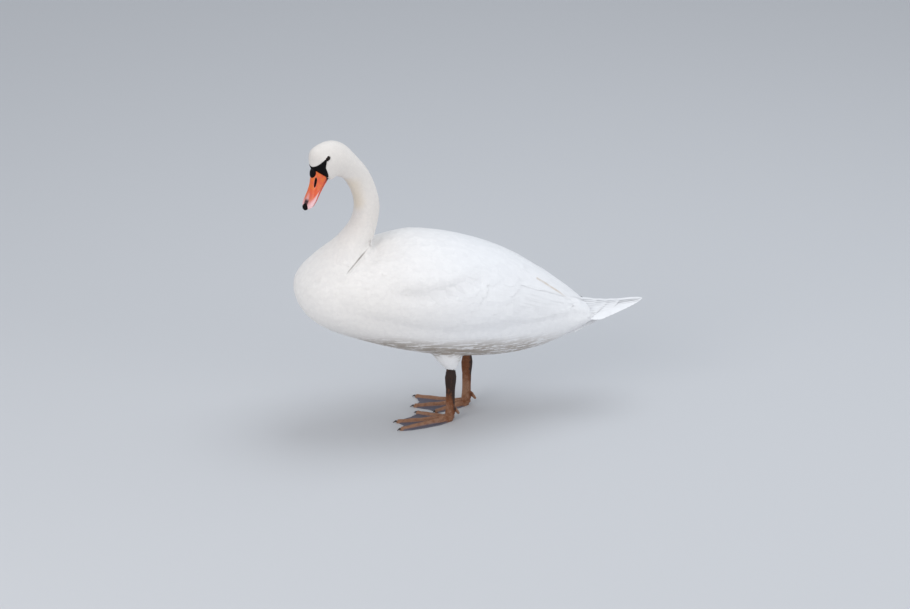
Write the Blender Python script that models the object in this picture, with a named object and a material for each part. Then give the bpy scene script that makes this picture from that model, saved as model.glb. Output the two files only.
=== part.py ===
"""A standing mute swan, life size, in metres, +Z up.

The bird faces -Y and its left side is +X. The feathered body is one loft of rings that runs from the
bill, over the head, down the curved neck and along the trunk to the tip of the tail. Thin cuts across
it make the nodes. The folded wings are pads laid on the trunk, and the legs stand under it.
"""

import math
from collections import namedtuple

import bmesh
import bpy
from mathutils import Matrix, Vector

GAP = 0.0003  # between neighbouring solids
RING_SIDES = 26

# The body's rings. Each has a point on the back and one on the belly line, as (y, z) in the plane of
# symmetry, the half width between them, and lean, which moves the widest level up (+) or down (-).
Station = namedtuple("Station", "name back belly half_width lean")
STATIONS = [
    Station("bill_base", (-0.3748, 0.676), (-0.3316, 0.6445), 0.0175, 0.00),
    Station("brow", (-0.379, 0.6945), (-0.326, 0.6405), 0.0260, -0.10),
    Station("forehead", (-0.372, 0.722), (-0.320, 0.645), 0.0305, -0.12),
    Station("crown", (-0.3275, 0.734), (-0.311, 0.647), 0.0325, -0.10),
    Station("occiput", (-0.290, 0.722), (-0.301, 0.642), 0.0325, -0.04),
    Station("nape", (-0.256, 0.688), (-0.283, 0.6315), 0.0310, 0.00),
    Station("neck_top", (-0.215, 0.635), (-0.263, 0.601), 0.0295, 0.00),
    Station("neck_middle", (-0.1925, 0.563), (-0.253, 0.564), 0.0300, 0.00),
    Station("neck_low", (-0.200, 0.503), (-0.262, 0.521), 0.0330, 0.00),
    Station("neck_root", (-0.2090, 0.470), (-0.298, 0.477), 0.0430, 0.00),
    Station("breast_top", (-0.211, 0.452), (-0.357, 0.429), 0.0670, -0.06),
    Station("breast_front", (-0.202, 0.445), (-0.401, 0.364), 0.1030, -0.12),
    Station("breast_low", (-0.176, 0.453), (-0.363, 0.283), 0.1250, -0.10),
    Station("shoulder", (-0.110, 0.455), (-0.245, 0.223), 0.1360, -0.01),
    Station("back", (-0.013, 0.437), (-0.095, 0.177), 0.1370, 0.00),
    Station("loin", (0.087, 0.404), (0.050, 0.158), 0.1200, -0.04),
    Station("rump", (0.183, 0.353), (0.165, 0.162), 0.0900, -0.05),
    Station("vent", (0.255, 0.302), (0.245, 0.182), 0.0660, 0.00),
    Station("tail_root", (0.318, 0.258), (0.318, 0.222), 0.0550, 0.00),
    Station("tail_middle", (0.385, 0.255), (0.385, 0.238), 0.0350, 0.00),
    Station("tail_tip", (0.454, 0.2605), (0.454, 0.257), 0.0040, 0.00),
]
INDEX = {station.name: number for number, station in enumerate(STATIONS)}

# The head looks a little to the bird's left: the upper neck twists about this upright line.
TURN = math.radians(25.0)
TURN_AXIS_Y = -0.229
TURN_FULL_AT = INDEX["nape"]
TURN_ENDS_AT = INDEX["neck_low"]

# The bill, in its own frame: +Y forward along the gape line, +Z up, from the corner of the gape.
GAPE = Vector((0.0, -0.3435, 0.653))
BILL_PITCH = math.radians(-54.0)
BILL_LENGTH = 0.0865
BILL_HALF_WIDTH = 0.0170
BILL_SIDES = 16
BILL_RINGS = 9

EYE_RADIUS = 0.0078
EYE_PLACE = 2.3  # in stations
EYE_ANGLE = math.radians(66.0)  # round the ring from the crown
EYE_DEPTH = 0.0052  # of its centre under the skin

# The folded wing: a pad on the trunk. Its sweep is counted in stations, and its upper and lower
# edges in degrees round the ring from the back line.
WING_FRONT = INDEX["breast_front"] - 0.62
WING_END = INDEX["tail_root"] - 0.1
WING_STEPS = 20
WING_SPAN_STEPS = 10
WING_THICKNESS = 0.024
WING_CLEARANCE = 0.0018

# The legs. One foot stands a little ahead of the other.
LEG_OUT = 0.042
LEFT_AHEAD = 0.032  # of the middle of the stance
RIGHT_AHEAD = -0.028
ANKLE_HEIGHT = 0.0165
SHANK_TOP = 0.137
SHANK_LEAN = 0.002  # the hock stands this far behind the ankle
HOCK_HEIGHT = 0.114
LEG_SIDES = 12

TOE_HALF_WIDTH = 0.0058
WEB_THICKNESS = 0.0026
CLAW_HEIGHT = 0.0046  # of a claw's root over the ground
Toe = namedtuple("Toe", "name length claw")
TOES = [Toe("inner", 0.092, 0.012), Toe("middle", 0.131, 0.015), Toe("outer", 0.134, 0.014)]
# How far each toe turns outwards from straight ahead, in the order of TOES.
LEFT_SPREAD = [math.radians(angle) for angle in (-39.0, -7.0, 13.0)]
RIGHT_SPREAD = [math.radians(angle) for angle in (-20.0, 6.0, 32.0)]

WHITE = (0.86, 0.85, 0.82)
ORANGE = (0.80, 0.19, 0.04)
BLACK = (0.012, 0.011, 0.012)
LEG_BROWN = (0.16, 0.075, 0.035)


def clear_scene():
    for thing in list(bpy.data.objects):
        bpy.data.objects.remove(thing)


def finish_of(name, colour, roughness):
    material = bpy.data.materials.new(name)
    material.use_nodes = True
    shader = material.node_tree.nodes["Principled BSDF"]
    shader.inputs["Base Color"].default_value = (*colour, 1.0)
    shader.inputs["Roughness"].default_value = roughness
    shader.inputs["Metallic"].default_value = 0.0
    return material


def add_solid(name, shape, material, parent):
    """Makes an object of a bmesh, which it frees."""
    bmesh.ops.recalc_face_normals(shape, faces=shape.faces)
    mesh = bpy.data.meshes.new(name)
    shape.to_mesh(mesh)
    shape.free()
    mesh.materials.append(material)
    mesh.shade_smooth()
    mesh.set_sharp_from_angle(angle=math.radians(50.0))
    solid = bpy.data.objects.new(name, mesh)
    bpy.context.scene.collection.objects.link(solid)
    solid.parent = parent
    return solid


def add_empty(name, parent, matrix):
    empty = bpy.data.objects.new(name, None)
    bpy.context.scene.collection.objects.link(empty)
    empty.parent = parent
    empty.matrix_local = matrix
    return empty


def cut_away(solid, other):
    """Takes other out of solid, with the gap round it."""
    bpy.context.view_layer.update()
    shape = bmesh.new()
    shape.from_mesh(other.data)
    normals = [vertex.normal.copy() for vertex in shape.verts]
    for vertex, normal in zip(shape.verts, normals):
        vertex.co += normal * GAP
    mesh = bpy.data.meshes.new(f"cut_{solid.name}_{other.name}")
    shape.to_mesh(mesh)
    shape.free()
    cutter = bpy.data.objects.new(mesh.name, mesh)
    bpy.context.scene.collection.objects.link(cutter)
    cutter.parent = other.parent
    cutter.matrix_local = other.matrix_local
    cutter.hide_render = True
    cutter.display_type = "WIRE"
    boolean = solid.modifiers.new(mesh.name, "BOOLEAN")
    boolean.operation = "DIFFERENCE"
    boolean.object = cutter


def loft(rings):
    """One closed skin through rings of equal count: a face is extruded from each ring to the next."""
    shape = bmesh.new()
    face = shape.faces.new([shape.verts.new(point) for point in rings[0]])
    for number, ring in enumerate(rings[1:]):
        made = bmesh.ops.extrude_face_region(shape, geom=[face])["geom"]
        if number:
            bmesh.ops.delete(shape, geom=[face], context="FACES_ONLY")
        face = next(part for part in made if isinstance(part, bmesh.types.BMFace))
        for vertex, point in zip(face.verts, ring):
            vertex.co = point
    return shape


def smoothstep(value):
    clamped = min(1.0, max(0.0, value))
    return clamped * clamped * (3.0 - 2.0 * clamped)


def mixed(low, high, share):
    return low + (high - low) * share


def through(values, place):
    """A smooth value at a place counted in list steps, through the values (Catmull-Rom)."""
    last = len(values) - 1
    first = min(last - 1, max(0, math.floor(place)))
    t = place - first
    p0, p1, p2, p3 = (values[min(last, max(0, first + step))] for step in (-1, 0, 1, 2))
    slope = (p2 - p0) * 0.5
    next_slope = (p3 - p1) * 0.5
    rise = p2 - p1
    return p1 + t * (slope + t * (3 * rise - 2 * slope - next_slope + t * (slope + next_slope - 2 * rise)))


BACKS = [Vector(station.back) for station in STATIONS]
BELLIES = [Vector(station.belly) for station in STATIONS]
HALF_WIDTHS = [station.half_width for station in STATIONS]
LEANS = [station.lean for station in STATIONS]


def turned(point, place):
    """Turns a point of the head or upper neck about the upright line of the twist."""
    share = smoothstep((TURN_ENDS_AT - place) / (TURN_ENDS_AT - TURN_FULL_AT))
    axis = Vector((0.0, TURN_AXIS_Y, 0.0))
    return Matrix.Rotation(TURN * share, 3, "Z") @ (point - axis) + axis


def on_body(place, angle, shift=0.0):
    """A point of the body's surface: place counts stations and angle goes round from the back line.
    shift moves the whole ring along the body."""
    back = through(BACKS, place)
    belly = through(BELLIES, place)
    middle = (back + belly) / 2
    half = (back - belly) / 2
    across = Vector((-half.y, half.x)).normalized() * shift  # square to the ring, towards the tail
    level = math.cos(angle)
    out = through(HALF_WIDTHS, place) * math.sin(angle) * (1.0 + through(LEANS, place) * level)
    flat = middle + half * level - across
    return turned(Vector((out, flat.x, flat.y)), place)


def body_ring(place, shift=0.0):
    step = math.tau / RING_SIDES
    return [on_body(place, number * step, shift) for number in range(RING_SIDES)]


def body_length(first, last, rings):
    """The rings of one node, from one cut to the next."""
    places = [mixed(first, last, number / (rings - 1)) for number in range(rings)]
    ends = {0: GAP / 2, rings - 1: -GAP / 2}
    return [body_ring(place, ends.get(number, 0.0)) for number, place in enumerate(places)]


def build_body(white, swan):
    """Head, neck in four lengths, trunk and tail: name, first place, last place, rings."""
    lengths = [
        ("head", INDEX["bill_base"], INDEX["nape"] - 0.2, 13),
        ("neck_upper", INDEX["nape"] - 0.2, INDEX["neck_top"] + 0.2, 5),
        ("neck_middle", INDEX["neck_top"] + 0.2, INDEX["neck_middle"] + 0.5, 5),
        ("neck_lower", INDEX["neck_middle"] + 0.5, INDEX["neck_low"] + 0.4, 4),
        ("neck_base", INDEX["neck_low"] + 0.4, INDEX["neck_root"] + 0.3, 4),
        ("trunk", INDEX["neck_root"] + 0.3, INDEX["vent"] + 0.4, 27),
        ("tail", INDEX["vent"] + 0.4, INDEX["tail_tip"], 8),
    ]
    return {
        name: add_solid(name, loft(body_length(first, last, rings)), white, swan)
        for name, first, last, rings in lengths
    }


def body_normal(place, angle):
    """Which way the body's surface faces."""
    small = 0.01
    along = on_body(place + small, angle) - on_body(place - small, angle)
    around = on_body(place, angle + small) - on_body(place, angle - small)
    return around.cross(along).normalized()


def wing_ring(share, side):
    """A slice across the folded wing: over its outer face from the back line down, and back inside."""
    place = mixed(WING_FRONT, WING_END, share)
    upper = math.radians(0.5)
    droop = math.sin(math.pi * min(1.0, share * 1.1)) ** 0.8
    lower = math.radians(mixed(88.0, 62.0, share) + 26.0 * droop)
    swell = min(1.0, 0.05 + 2.6 * share) * (1.0 - 0.62 * smoothstep((share - 0.45) / 0.55))
    outer = []
    inner = []
    for number in range(WING_SPAN_STEPS):
        across = number / (WING_SPAN_STEPS - 1)
        angle = mixed(upper, lower, across)
        point = on_body(place, side * angle)
        outwards = body_normal(place, side * angle)
        crown = 0.10 + 0.90 * math.cos(math.pi / 2 * across ** 1.6) ** 0.7
        thickness = WING_CLEARANCE + max(0.0022, WING_THICKNESS * swell * crown)
        outer.append(point + outwards * thickness)
        inner.append(point + outwards * WING_CLEARANCE)
    return outer + inner[::-1]


def build_wings(white, swan):
    for name, side in (("wing_left", 1.0), ("wing_right", -1.0)):
        rings = [wing_ring(number / WING_STEPS, side) for number in range(WING_STEPS + 1)]
        add_solid(name, loft(rings), white, swan)


def culmen(share):
    """Height of the bill's top line over the gape line."""
    return 0.0075 + 0.0315 * (1.0 - share) ** 1.9


def bill_width(share):
    """Half width of the bill: almost parallel, wider towards the round tip."""
    spread = 1.0 - 0.05 * math.sin(math.pi * min(1.0, share / 0.7)) + 0.14 * smoothstep(share / 0.85)
    return BILL_HALF_WIDTH * spread * math.sqrt(max(0.02, 1.0 - share ** 8))


def mandible_ring(share, top, bottom, width):
    """A slice of a mandible: a round back over a flat edge when top is above bottom."""
    place = GAP / 2 + BILL_LENGTH * share
    ring = []
    for number in range(BILL_SIDES):
        angle = math.tau * number / BILL_SIDES
        rise = max(0.0, math.cos(angle))
        fall = max(0.0, -math.cos(angle))
        height = mixed(0.0, top, rise) + bottom * fall
        ring.append(Vector((width * math.sin(angle), place, height)))
    return ring


def build_bill(orange, black, frame):
    """Upper and lower mandible, the nail at the tip and the knob at the forehead."""
    edge = 0.0012
    upper = []
    lower = []
    for number in range(BILL_RINGS + 1):
        share = math.sin(math.pi / 2 * number / BILL_RINGS)
        width = bill_width(share)
        end = math.sqrt(max(0.03, 1.0 - share ** 12))
        ring = mandible_ring(share, culmen(share) * end, -edge, width)
        upper.append([point + Vector((0.0, 0.0, edge + GAP)) for point in ring])
        depth = mixed(0.0100, 0.0045, share) * end
        reach = share * 0.955
        under = mandible_ring(reach, edge, -depth, width * 0.90)
        lower.append([point - Vector((0.0, 0.0, edge + GAP)) for point in under])
    mandible = add_solid("bill_upper", loft(upper), orange, frame)
    add_solid("bill_lower", loft(lower), orange, frame)
    nail = bmesh.new()
    bmesh.ops.create_uvsphere(nail, u_segments=14, v_segments=8, radius=1.0)
    nail.transform(
        Matrix.Translation((0.0, BILL_LENGTH * 0.940, 0.0058)) @ Matrix.Diagonal((0.0065, 0.0090, 0.0054, 1.0))
    )
    add_bill_cap("bill_nail", nail, black, frame, [mandible])
    return mandible


def add_bill_cap(name, shape, material, frame, hosts):
    cap = add_solid(name, shape, material, frame)
    for host in hosts:
        cut_away(cap, host)
    return cap


def build_knob(black, frame, mandible, head):
    knob = bmesh.new()
    bmesh.ops.create_uvsphere(knob, u_segments=14, v_segments=9, radius=1.0)
    knob.transform(Matrix.Translation((0.0, 0.0070, 0.0358)) @ Matrix.Diagonal((0.0085, 0.0106, 0.0078, 1.0)))
    add_bill_cap("bill_knob", knob, black, frame, [mandible, head])


def build_eyes(black, head, swan):
    for name, side in (("eye_left", 1.0), ("eye_right", -1.0)):
        shape = bmesh.new()
        bmesh.ops.create_uvsphere(shape, u_segments=14, v_segments=9, radius=EYE_RADIUS)
        eye = add_solid(name, shape, black, swan)
        skin = on_body(EYE_PLACE, side * EYE_ANGLE)
        eye.location = skin - body_normal(EYE_PLACE, side * EYE_ANGLE) * EYE_DEPTH
        cut_away(head, eye)


def leg_ring(height, centre, half_x, half_y):
    ring = []
    for number in range(LEG_SIDES):
        angle = math.tau * number / LEG_SIDES
        ring.append(Vector((centre.x + half_x * math.cos(angle), centre.y + half_y * math.sin(angle), height)))
    return ring


def leg_centre(height):
    """The shank's middle line, over an ankle at the origin: it leans back to the hock."""
    share = (height - ANKLE_HEIGHT) / (SHANK_TOP - ANKLE_HEIGHT)
    return Vector((0.0, SHANK_LEAN * share))


def build_shank(side_name, brown, leg_frame):
    """The bare leg: hock, slim shank and ankle."""
    levels = [
        (SHANK_TOP - GAP, 0.0078, 0.0100),
        (HOCK_HEIGHT + 0.011, 0.0086, 0.0122),
        (HOCK_HEIGHT, 0.0096, 0.0140),
        (HOCK_HEIGHT - 0.013, 0.0088, 0.0132),
        (HOCK_HEIGHT - 0.030, 0.0074, 0.0112),
        (0.050, 0.0070, 0.0106),
        (0.032, 0.0076, 0.0110),
        (0.023, 0.0088, 0.0120),
        (ANKLE_HEIGHT + GAP, 0.0092, 0.0120),
    ]
    rings = [leg_ring(height, leg_centre(height), half_x, half_y) for height, half_x, half_y in levels]
    return add_solid(f"shank_{side_name}", loft(rings), brown, leg_frame)


def build_thigh(side_name, side, white, leg_frame, trunk):
    """The feathered leg: a cone that comes out of the belly and ends over the hock."""
    levels = [
        (0.230, 0.046, 0.056, -0.014),
        (0.195, 0.040, 0.047, -0.009),
        (0.168, 0.028, 0.032, -0.004),
        (0.149, 0.0180, 0.0205, 0.000),
        (SHANK_TOP, 0.0115, 0.0132, 0.0020),
    ]
    rings = []
    for height, half_x, half_y, centre_y in levels:
        inwards = -side * (height - SHANK_TOP) * 0.12
        rings.append(leg_ring(height, Vector((inwards, centre_y)), half_x, half_y))
    thigh = add_solid(f"thigh_{side_name}", loft(rings), white, leg_frame)
    cut_away(thigh, trunk)
    return thigh


def toe_height(along, off):
    """Top of a toe over the ground, at a share along it and off its middle line in half widths."""
    joints = 1.0 + 0.07 * math.cos(math.tau * 3.0 * along)
    ridge = mixed(0.0165, 0.0078, along ** 0.6) * joints
    return max(WEB_THICKNESS, ridge * math.sqrt(max(0.0, 1.0 - off * off)))


def foot_ring(share, outward, spread):
    """One ring of the foot's top, at a share of the way from the ankle to the edge of the web."""
    heel = mixed(0.0120, 0.0070, share)
    ring = []
    reach = [toe.length * share for toe in TOES]
    span = [
        min(math.asin(min(1.0, TOE_HALF_WIDTH * 1.15 / max(r, 0.0135))), math.radians(10.5)) for r in reach
    ]
    for number, angle in enumerate(spread):
        radius = max(reach[number], 0.0125)
        for off in (-1.0, -0.5, 0.0, 0.5, 1.0):
            blunt = 1.0 - 0.055 * off * off * smoothstep(share)
            height = toe_height(share, off * 0.96)
            ring.append((angle + off * span[number], radius * blunt, height))
        if number + 1 < len(TOES):
            start = angle + span[number]
            stop = spread[number + 1] - span[number + 1]
            for step in (0.25, 0.5, 0.75):
                scallop = 1.0 - 0.13 * math.sin(math.pi * step) * smoothstep(share * 1.3 - 0.3)
                far = mixed(reach[number], reach[number + 1], step) * scallop
                ring.append((mixed(start, stop, step), max(far, 0.0125), WEB_THICKNESS))
    flap = [(far, math.radians(turn)) for far, turn in ((0.80, 6.5), (0.55, 12.0), (0.28, 24.0))]
    for far, turn in flap:
        ring.append((spread[-1] + turn, max(reach[-1] * far, 0.0125), WEB_THICKNESS))
    for turn in (112.0, 180.0, 248.0):
        ring.append((math.radians(turn), heel, 0.006))
    for far, turn in flap[:0:-1]:
        ring.append((math.tau + spread[0] - turn, max(reach[0] * far, 0.0125), WEB_THICKNESS))
    points = []
    for angle, radius, height in ring:
        points.append(Vector((outward * radius * math.sin(angle), -radius * math.cos(angle), height)))
    return points


def build_foot(side_name, outward, spread, brown, leg_frame):
    """Three toes joined by the web, on a flat sole."""
    shares = (0.97, 0.86, 0.70, 0.54, 0.38, 0.22)
    edge = foot_ring(1.0, outward, spread)
    sole = [Vector((point.x, point.y, 0.0)) for point in edge]
    rim = [Vector((point.x, point.y, min(point.z, 0.0022))) for point in edge]
    rings = [sole, rim] + [foot_ring(share, outward, spread) for share in shares]
    seat = []
    for point in rings[-1]:
        flat = Vector((point.x, point.y)).normalized() * 0.0105
        seat.append(Vector((flat.x, flat.y, ANKLE_HEIGHT)))
    return add_solid(f"foot_{side_name}", loft(rings + [seat]), brown, leg_frame)


def claw_rings(length, radius):
    """A claw along +Y from its root, curved down to a blunt point."""
    rings = []
    for step in range(5):
        share = step / 4
        size = radius * mixed(1.0, 0.22, share ** 1.3)
        droop = -0.22 * length * share * share
        ring = []
        for number in range(6):
            angle = math.tau * number / 6
            ring.append(Vector((size * 0.8 * math.cos(angle), length * share, droop + size * math.sin(angle))))
        rings.append(ring)
    return rings


def build_claws(side_name, outward, spread, black, leg_frame):
    for toe, angle in zip(TOES, spread):
        claw = add_solid(f"claw_{side_name}_{toe.name}", loft(claw_rings(toe.claw, 0.0034)), black, leg_frame)
        forward = Vector((outward * math.sin(angle), -math.cos(angle), 0.0))
        claw.location = forward * (toe.length + GAP) + Vector((0.0, 0.0, CLAW_HEIGHT))
        claw.rotation_euler.z = math.atan2(-forward.x, forward.y)


def build_hind_toe(side_name, outward, shank, brown, black, leg_frame):
    """The short hind toe, which hangs clear of the ground behind the ankle."""
    root = Vector((-outward * 0.003, 0.0100, 0.0330))
    tilt = Matrix.Rotation(math.radians(-55.0), 4, "X")
    frame = add_empty(f"hind_{side_name}", leg_frame, Matrix.Translation(root) @ tilt)
    length = 0.0220
    rings = []
    for step in range(6):
        share = step / 5
        size = 0.0044 * (1.0 - 0.30 * share) * (0.8 if step in (0, 5) else 1.0)
        ring = []
        for number in range(10):
            angle = math.tau * number / 10
            ring.append(Vector((size * math.cos(angle), length * share, size * math.sin(angle))))
        rings.append(ring)
    toe = add_solid(f"hind_toe_{side_name}", loft(rings), brown, frame)
    cut_away(toe, shank)
    claw = add_solid(f"claw_{side_name}_hind", loft(claw_rings(0.007, 0.0024)), black, frame)
    claw.location = (0.0, length + GAP, 0.0)


def build_leg(side_name, side, ahead, spread, materials, trunk, swan):
    """One leg, on its own frame on the ground under the ankle."""
    white, brown, black = materials
    place = Matrix.Translation((side * LEG_OUT, -ahead, 0.0))
    leg_frame = add_empty(f"leg_frame_{side_name}", swan, place)
    build_thigh(side_name, side, white, leg_frame, trunk)
    shank = build_shank(side_name, brown, leg_frame)
    build_foot(side_name, side, spread, brown, leg_frame)
    build_claws(side_name, side, spread, black, leg_frame)
    build_hind_toe(side_name, side, shank, brown, black, leg_frame)


def stand_on_origin(swan):
    """Moves the bird so that the origin is the middle of its box, on the ground."""
    bpy.context.view_layer.update()
    graph = bpy.context.evaluated_depsgraph_get()
    corners = []
    for thing in bpy.context.scene.objects:
        if thing.type == "MESH" and not thing.hide_render:
            ready = thing.evaluated_get(graph)
            corners += [ready.matrix_world @ vertex.co for vertex in ready.data.vertices]
    for axis in (0, 1):
        values = [corner[axis] for corner in corners]
        swan.location[axis] = -(min(values) + max(values)) / 2
    swan.location.z = -min(corner.z for corner in corners)


def main():
    clear_scene()
    white = finish_of("white_feathers", WHITE, 0.75)
    orange = finish_of("orange_bill", ORANGE, 0.35)
    black = finish_of("black_horn", BLACK, 0.35)
    brown = finish_of("brown_leg_skin", LEG_BROWN, 0.55)
    swan = add_empty("swan", None, Matrix.Identity(4))

    body = build_body(white, swan)
    build_wings(white, swan)
    build_eyes(black, body["head"], swan)

    gape = turned(GAPE, INDEX["bill_base"])
    aim = Matrix.Rotation(math.pi + TURN, 4, "Z") @ Matrix.Rotation(BILL_PITCH, 4, "X")
    bill_frame = add_empty("bill_frame", swan, Matrix.Translation(gape) @ aim)
    mandible = build_bill(orange, black, bill_frame)
    build_knob(black, bill_frame, mandible, body["head"])

    materials = (white, brown, black)
    build_leg("left", 1.0, LEFT_AHEAD, LEFT_SPREAD, materials, body["trunk"], swan)
    build_leg("right", -1.0, RIGHT_AHEAD, RIGHT_SPREAD, materials, body["trunk"], swan)
    stand_on_origin(swan)


main()
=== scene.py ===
import math

import bmesh
import bpy
import numpy as np
from mathutils import Matrix, Vector
from mathutils.bvhtree import BVHTree


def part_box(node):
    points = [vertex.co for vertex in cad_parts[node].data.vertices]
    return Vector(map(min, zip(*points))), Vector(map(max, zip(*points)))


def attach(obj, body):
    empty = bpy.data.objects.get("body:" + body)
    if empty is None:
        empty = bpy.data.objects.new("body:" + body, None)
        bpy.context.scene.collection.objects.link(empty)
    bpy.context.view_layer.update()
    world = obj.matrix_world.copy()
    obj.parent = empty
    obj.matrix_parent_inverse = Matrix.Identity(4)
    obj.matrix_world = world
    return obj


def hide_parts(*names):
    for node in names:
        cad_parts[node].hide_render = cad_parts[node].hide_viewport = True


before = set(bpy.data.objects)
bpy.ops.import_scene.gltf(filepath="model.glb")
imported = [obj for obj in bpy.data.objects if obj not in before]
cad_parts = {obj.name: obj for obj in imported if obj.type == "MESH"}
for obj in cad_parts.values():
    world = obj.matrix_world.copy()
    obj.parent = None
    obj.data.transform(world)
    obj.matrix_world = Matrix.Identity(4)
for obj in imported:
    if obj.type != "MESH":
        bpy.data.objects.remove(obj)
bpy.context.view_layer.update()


# ---- Skin ------------------------------------------------------------------------------------
# The bird's own skin, one piece from the bill's base to the tail and down both thighs. It lies
# inside the plumage by the depth of the feathers, and shows bare only on the black lores in
# front of the eyes and on the lids.
FLESH = (
    "head", "neck_upper", "neck_middle", "neck_lower", "neck_base", "trunk", "tail",
    "wing_left", "wing_right", "thigh_left", "thigh_right",
)
SKIN_GRAIN = 0.0035  # size of the skin's faces
HEAD_TURN = math.radians(25.0)  # the head looks a little to its left
TURN_AXIS_Y = -0.2558  # y of the upright line round which it turns

# Markings of the plumage, which the skin under it shares, and painted shade: cold white on the back,
# cream on the head and neck, tan under the throat that is partly painted shade under the head, soil
# along the belly, and lines of painted shade in the folds.
WHITE = (0.84, 0.845, 0.86, 1.0)
WARM_WHITE = (0.87, 0.84, 0.81, 1.0)
CREAM = (0.79, 0.745, 0.70, 1.0)
TAN = (0.74, 0.63, 0.46, 1.0)
FOLD_SHADE_TAN = (0.56, 0.455, 0.34, 1.0)
SOIL = (0.24, 0.18, 0.125, 1.0)
SHADOW_BROWN = (0.13, 0.10, 0.075, 1.0)


def add_node(tree, kind, **settings):
    """A shader node with its settings; a setting with a number is that input's value or link."""
    node = tree.nodes.new(kind)
    for name, value in settings.items():
        if name.startswith("in_"):
            socket = node.inputs[int(name[3:])]
            if isinstance(value, bpy.types.NodeSocket):
                tree.links.new(value, socket)
            else:
                socket.default_value = value
        else:
            setattr(node, name, value)
    return node


def math_node(tree, operation, *values, clamp=False):
    sockets = {f"in_{number}": value for number, value in enumerate(values)}
    return add_node(tree, "ShaderNodeMath", operation=operation, use_clamp=clamp, **sockets).outputs[0]


def times(tree, value, *others):
    for other in others:
        value = math_node(tree, "MULTIPLY", value, other)
    return value


def plus(tree, value, *others):
    for other in others:
        value = math_node(tree, "ADD", value, other)
    return value


def eased(tree, value, start, end):
    """0 at start, 1 at end, smooth between."""
    sockets = {"in_0": value, "in_1": start, "in_2": end}
    return add_node(tree, "ShaderNodeMapRange", interpolation_type="SMOOTHSTEP", **sockets).outputs["Result"]


def mixed_colour(tree, mask, low, high, blend_type="MIX"):
    sockets = {"in_0": mask, "in_6": low, "in_7": high}
    return add_node(tree, "ShaderNodeMix", data_type="RGBA", blend_type=blend_type, **sockets).outputs[2]


def noise_of(tree, place, size, stretch=(1.0, 1.0, 1.0), detail=3.0):
    """Noise of patches about size metres across, stretched along an axis."""
    scaled = add_node(tree, "ShaderNodeVectorMath", operation="MULTIPLY", in_0=place, in_1=stretch)
    noise = add_node(tree, "ShaderNodeTexNoise", in_0=scaled.outputs[0], in_2=1.0 / size, in_3=detail)
    return noise.outputs["Fac"]


def line_gap(tree, place, start, end):
    """Distance from a straight line between two points."""
    step = Vector(end) - Vector(start)

    def vector_node(operation, **sockets):
        return add_node(tree, "ShaderNodeVectorMath", operation=operation, **sockets).outputs

    offset = vector_node("SUBTRACT", in_0=place, in_1=start)[0]
    share = vector_node("DOT_PRODUCT", in_0=offset, in_1=step / step.length ** 2)["Value"]
    share = math_node(tree, "ADD", share, 0.0, clamp=True)
    along = vector_node("SCALE", in_0=step, in_3=share)[0]
    return vector_node("LENGTH", in_0=vector_node("SUBTRACT", in_0=offset, in_1=along)[0])["Value"]


thigh_low, thigh_high = (Vector(corner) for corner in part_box("thigh_left"))
thigh_middle = (thigh_low + thigh_high) / 2.0
THIGH_AXIS = [(thigh_middle.x, thigh_middle.y, corner.z) for corner in (thigh_low, thigh_high)]

markings_and_shade = bpy.data.node_groups.new("plumage_markings_and_painted_shade", "ShaderNodeTree")
markings_and_shade.interface.new_socket(name="Place", in_out="INPUT", socket_type="NodeSocketVector")
markings_and_shade.interface.new_socket(name="Colour", in_out="OUTPUT", socket_type="NodeSocketColor")
tree = markings_and_shade
place = tree.nodes.new("NodeGroupInput").outputs[0]
aside, aft, height = add_node(tree, "ShaderNodeSeparateXYZ", in_0=place).outputs
aside = math_node(tree, "ABSOLUTE", aside)
either = add_node(tree, "ShaderNodeCombineXYZ", in_0=aside, in_1=aft, in_2=height).outputs[0]
broad = noise_of(tree, place, 0.09)
fine = noise_of(tree, place, 0.012)
streaks = noise_of(tree, place, 0.010, stretch=(1.0, 0.17, 2.6), detail=6.0)
colour = mixed_colour(tree, eased(tree, aft, 0.05, -0.30), WHITE, WARM_WHITE)
neck = times(tree, eased(tree, height, 0.42, 0.54), eased(tree, aft, -0.17, -0.21), 0.9)
colour = mixed_colour(tree, neck, colour, CREAM)
# Tan under the throat, partly the plumage's own tint and partly painted shade under the head.
throat_tan_and_shade = eased(tree, line_gap(tree, place, (0.020, -0.290, 0.625), (0.012, -0.278, 0.575)), 0.034, 0.006)
colour = mixed_colour(tree, times(tree, throat_tan_and_shade, plus(tree, broad, 0.10)), colour, TAN)

# Soil in streaks along the belly, higher towards the breast. It leaves out the left thigh, and the
# same place on the right, where the thigh stands further back.
low = eased(tree, plus(tree, height, times(tree, aft, 0.10)), 0.250, 0.200)
hind = times(tree, eased(tree, aft, 0.27, 0.10), plus(tree, broad, 0.40), eased(tree, aft, -0.37, -0.20))
off_leg = eased(tree, line_gap(tree, either, *THIGH_AXIS), 0.024, 0.040)
off_leg = math_node(tree, "MAXIMUM", off_leg, eased(tree, height, 0.172, 0.188))
dirt = eased(tree, plus(tree, streaks, times(tree, fine, 0.35)), 0.56, 0.68)
dirt = math_node(tree, "MAXIMUM", 0.16, dirt)
colour = mixed_colour(tree, times(tree, low, hind, dirt, off_leg, 0.85), colour, SOIL)
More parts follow.
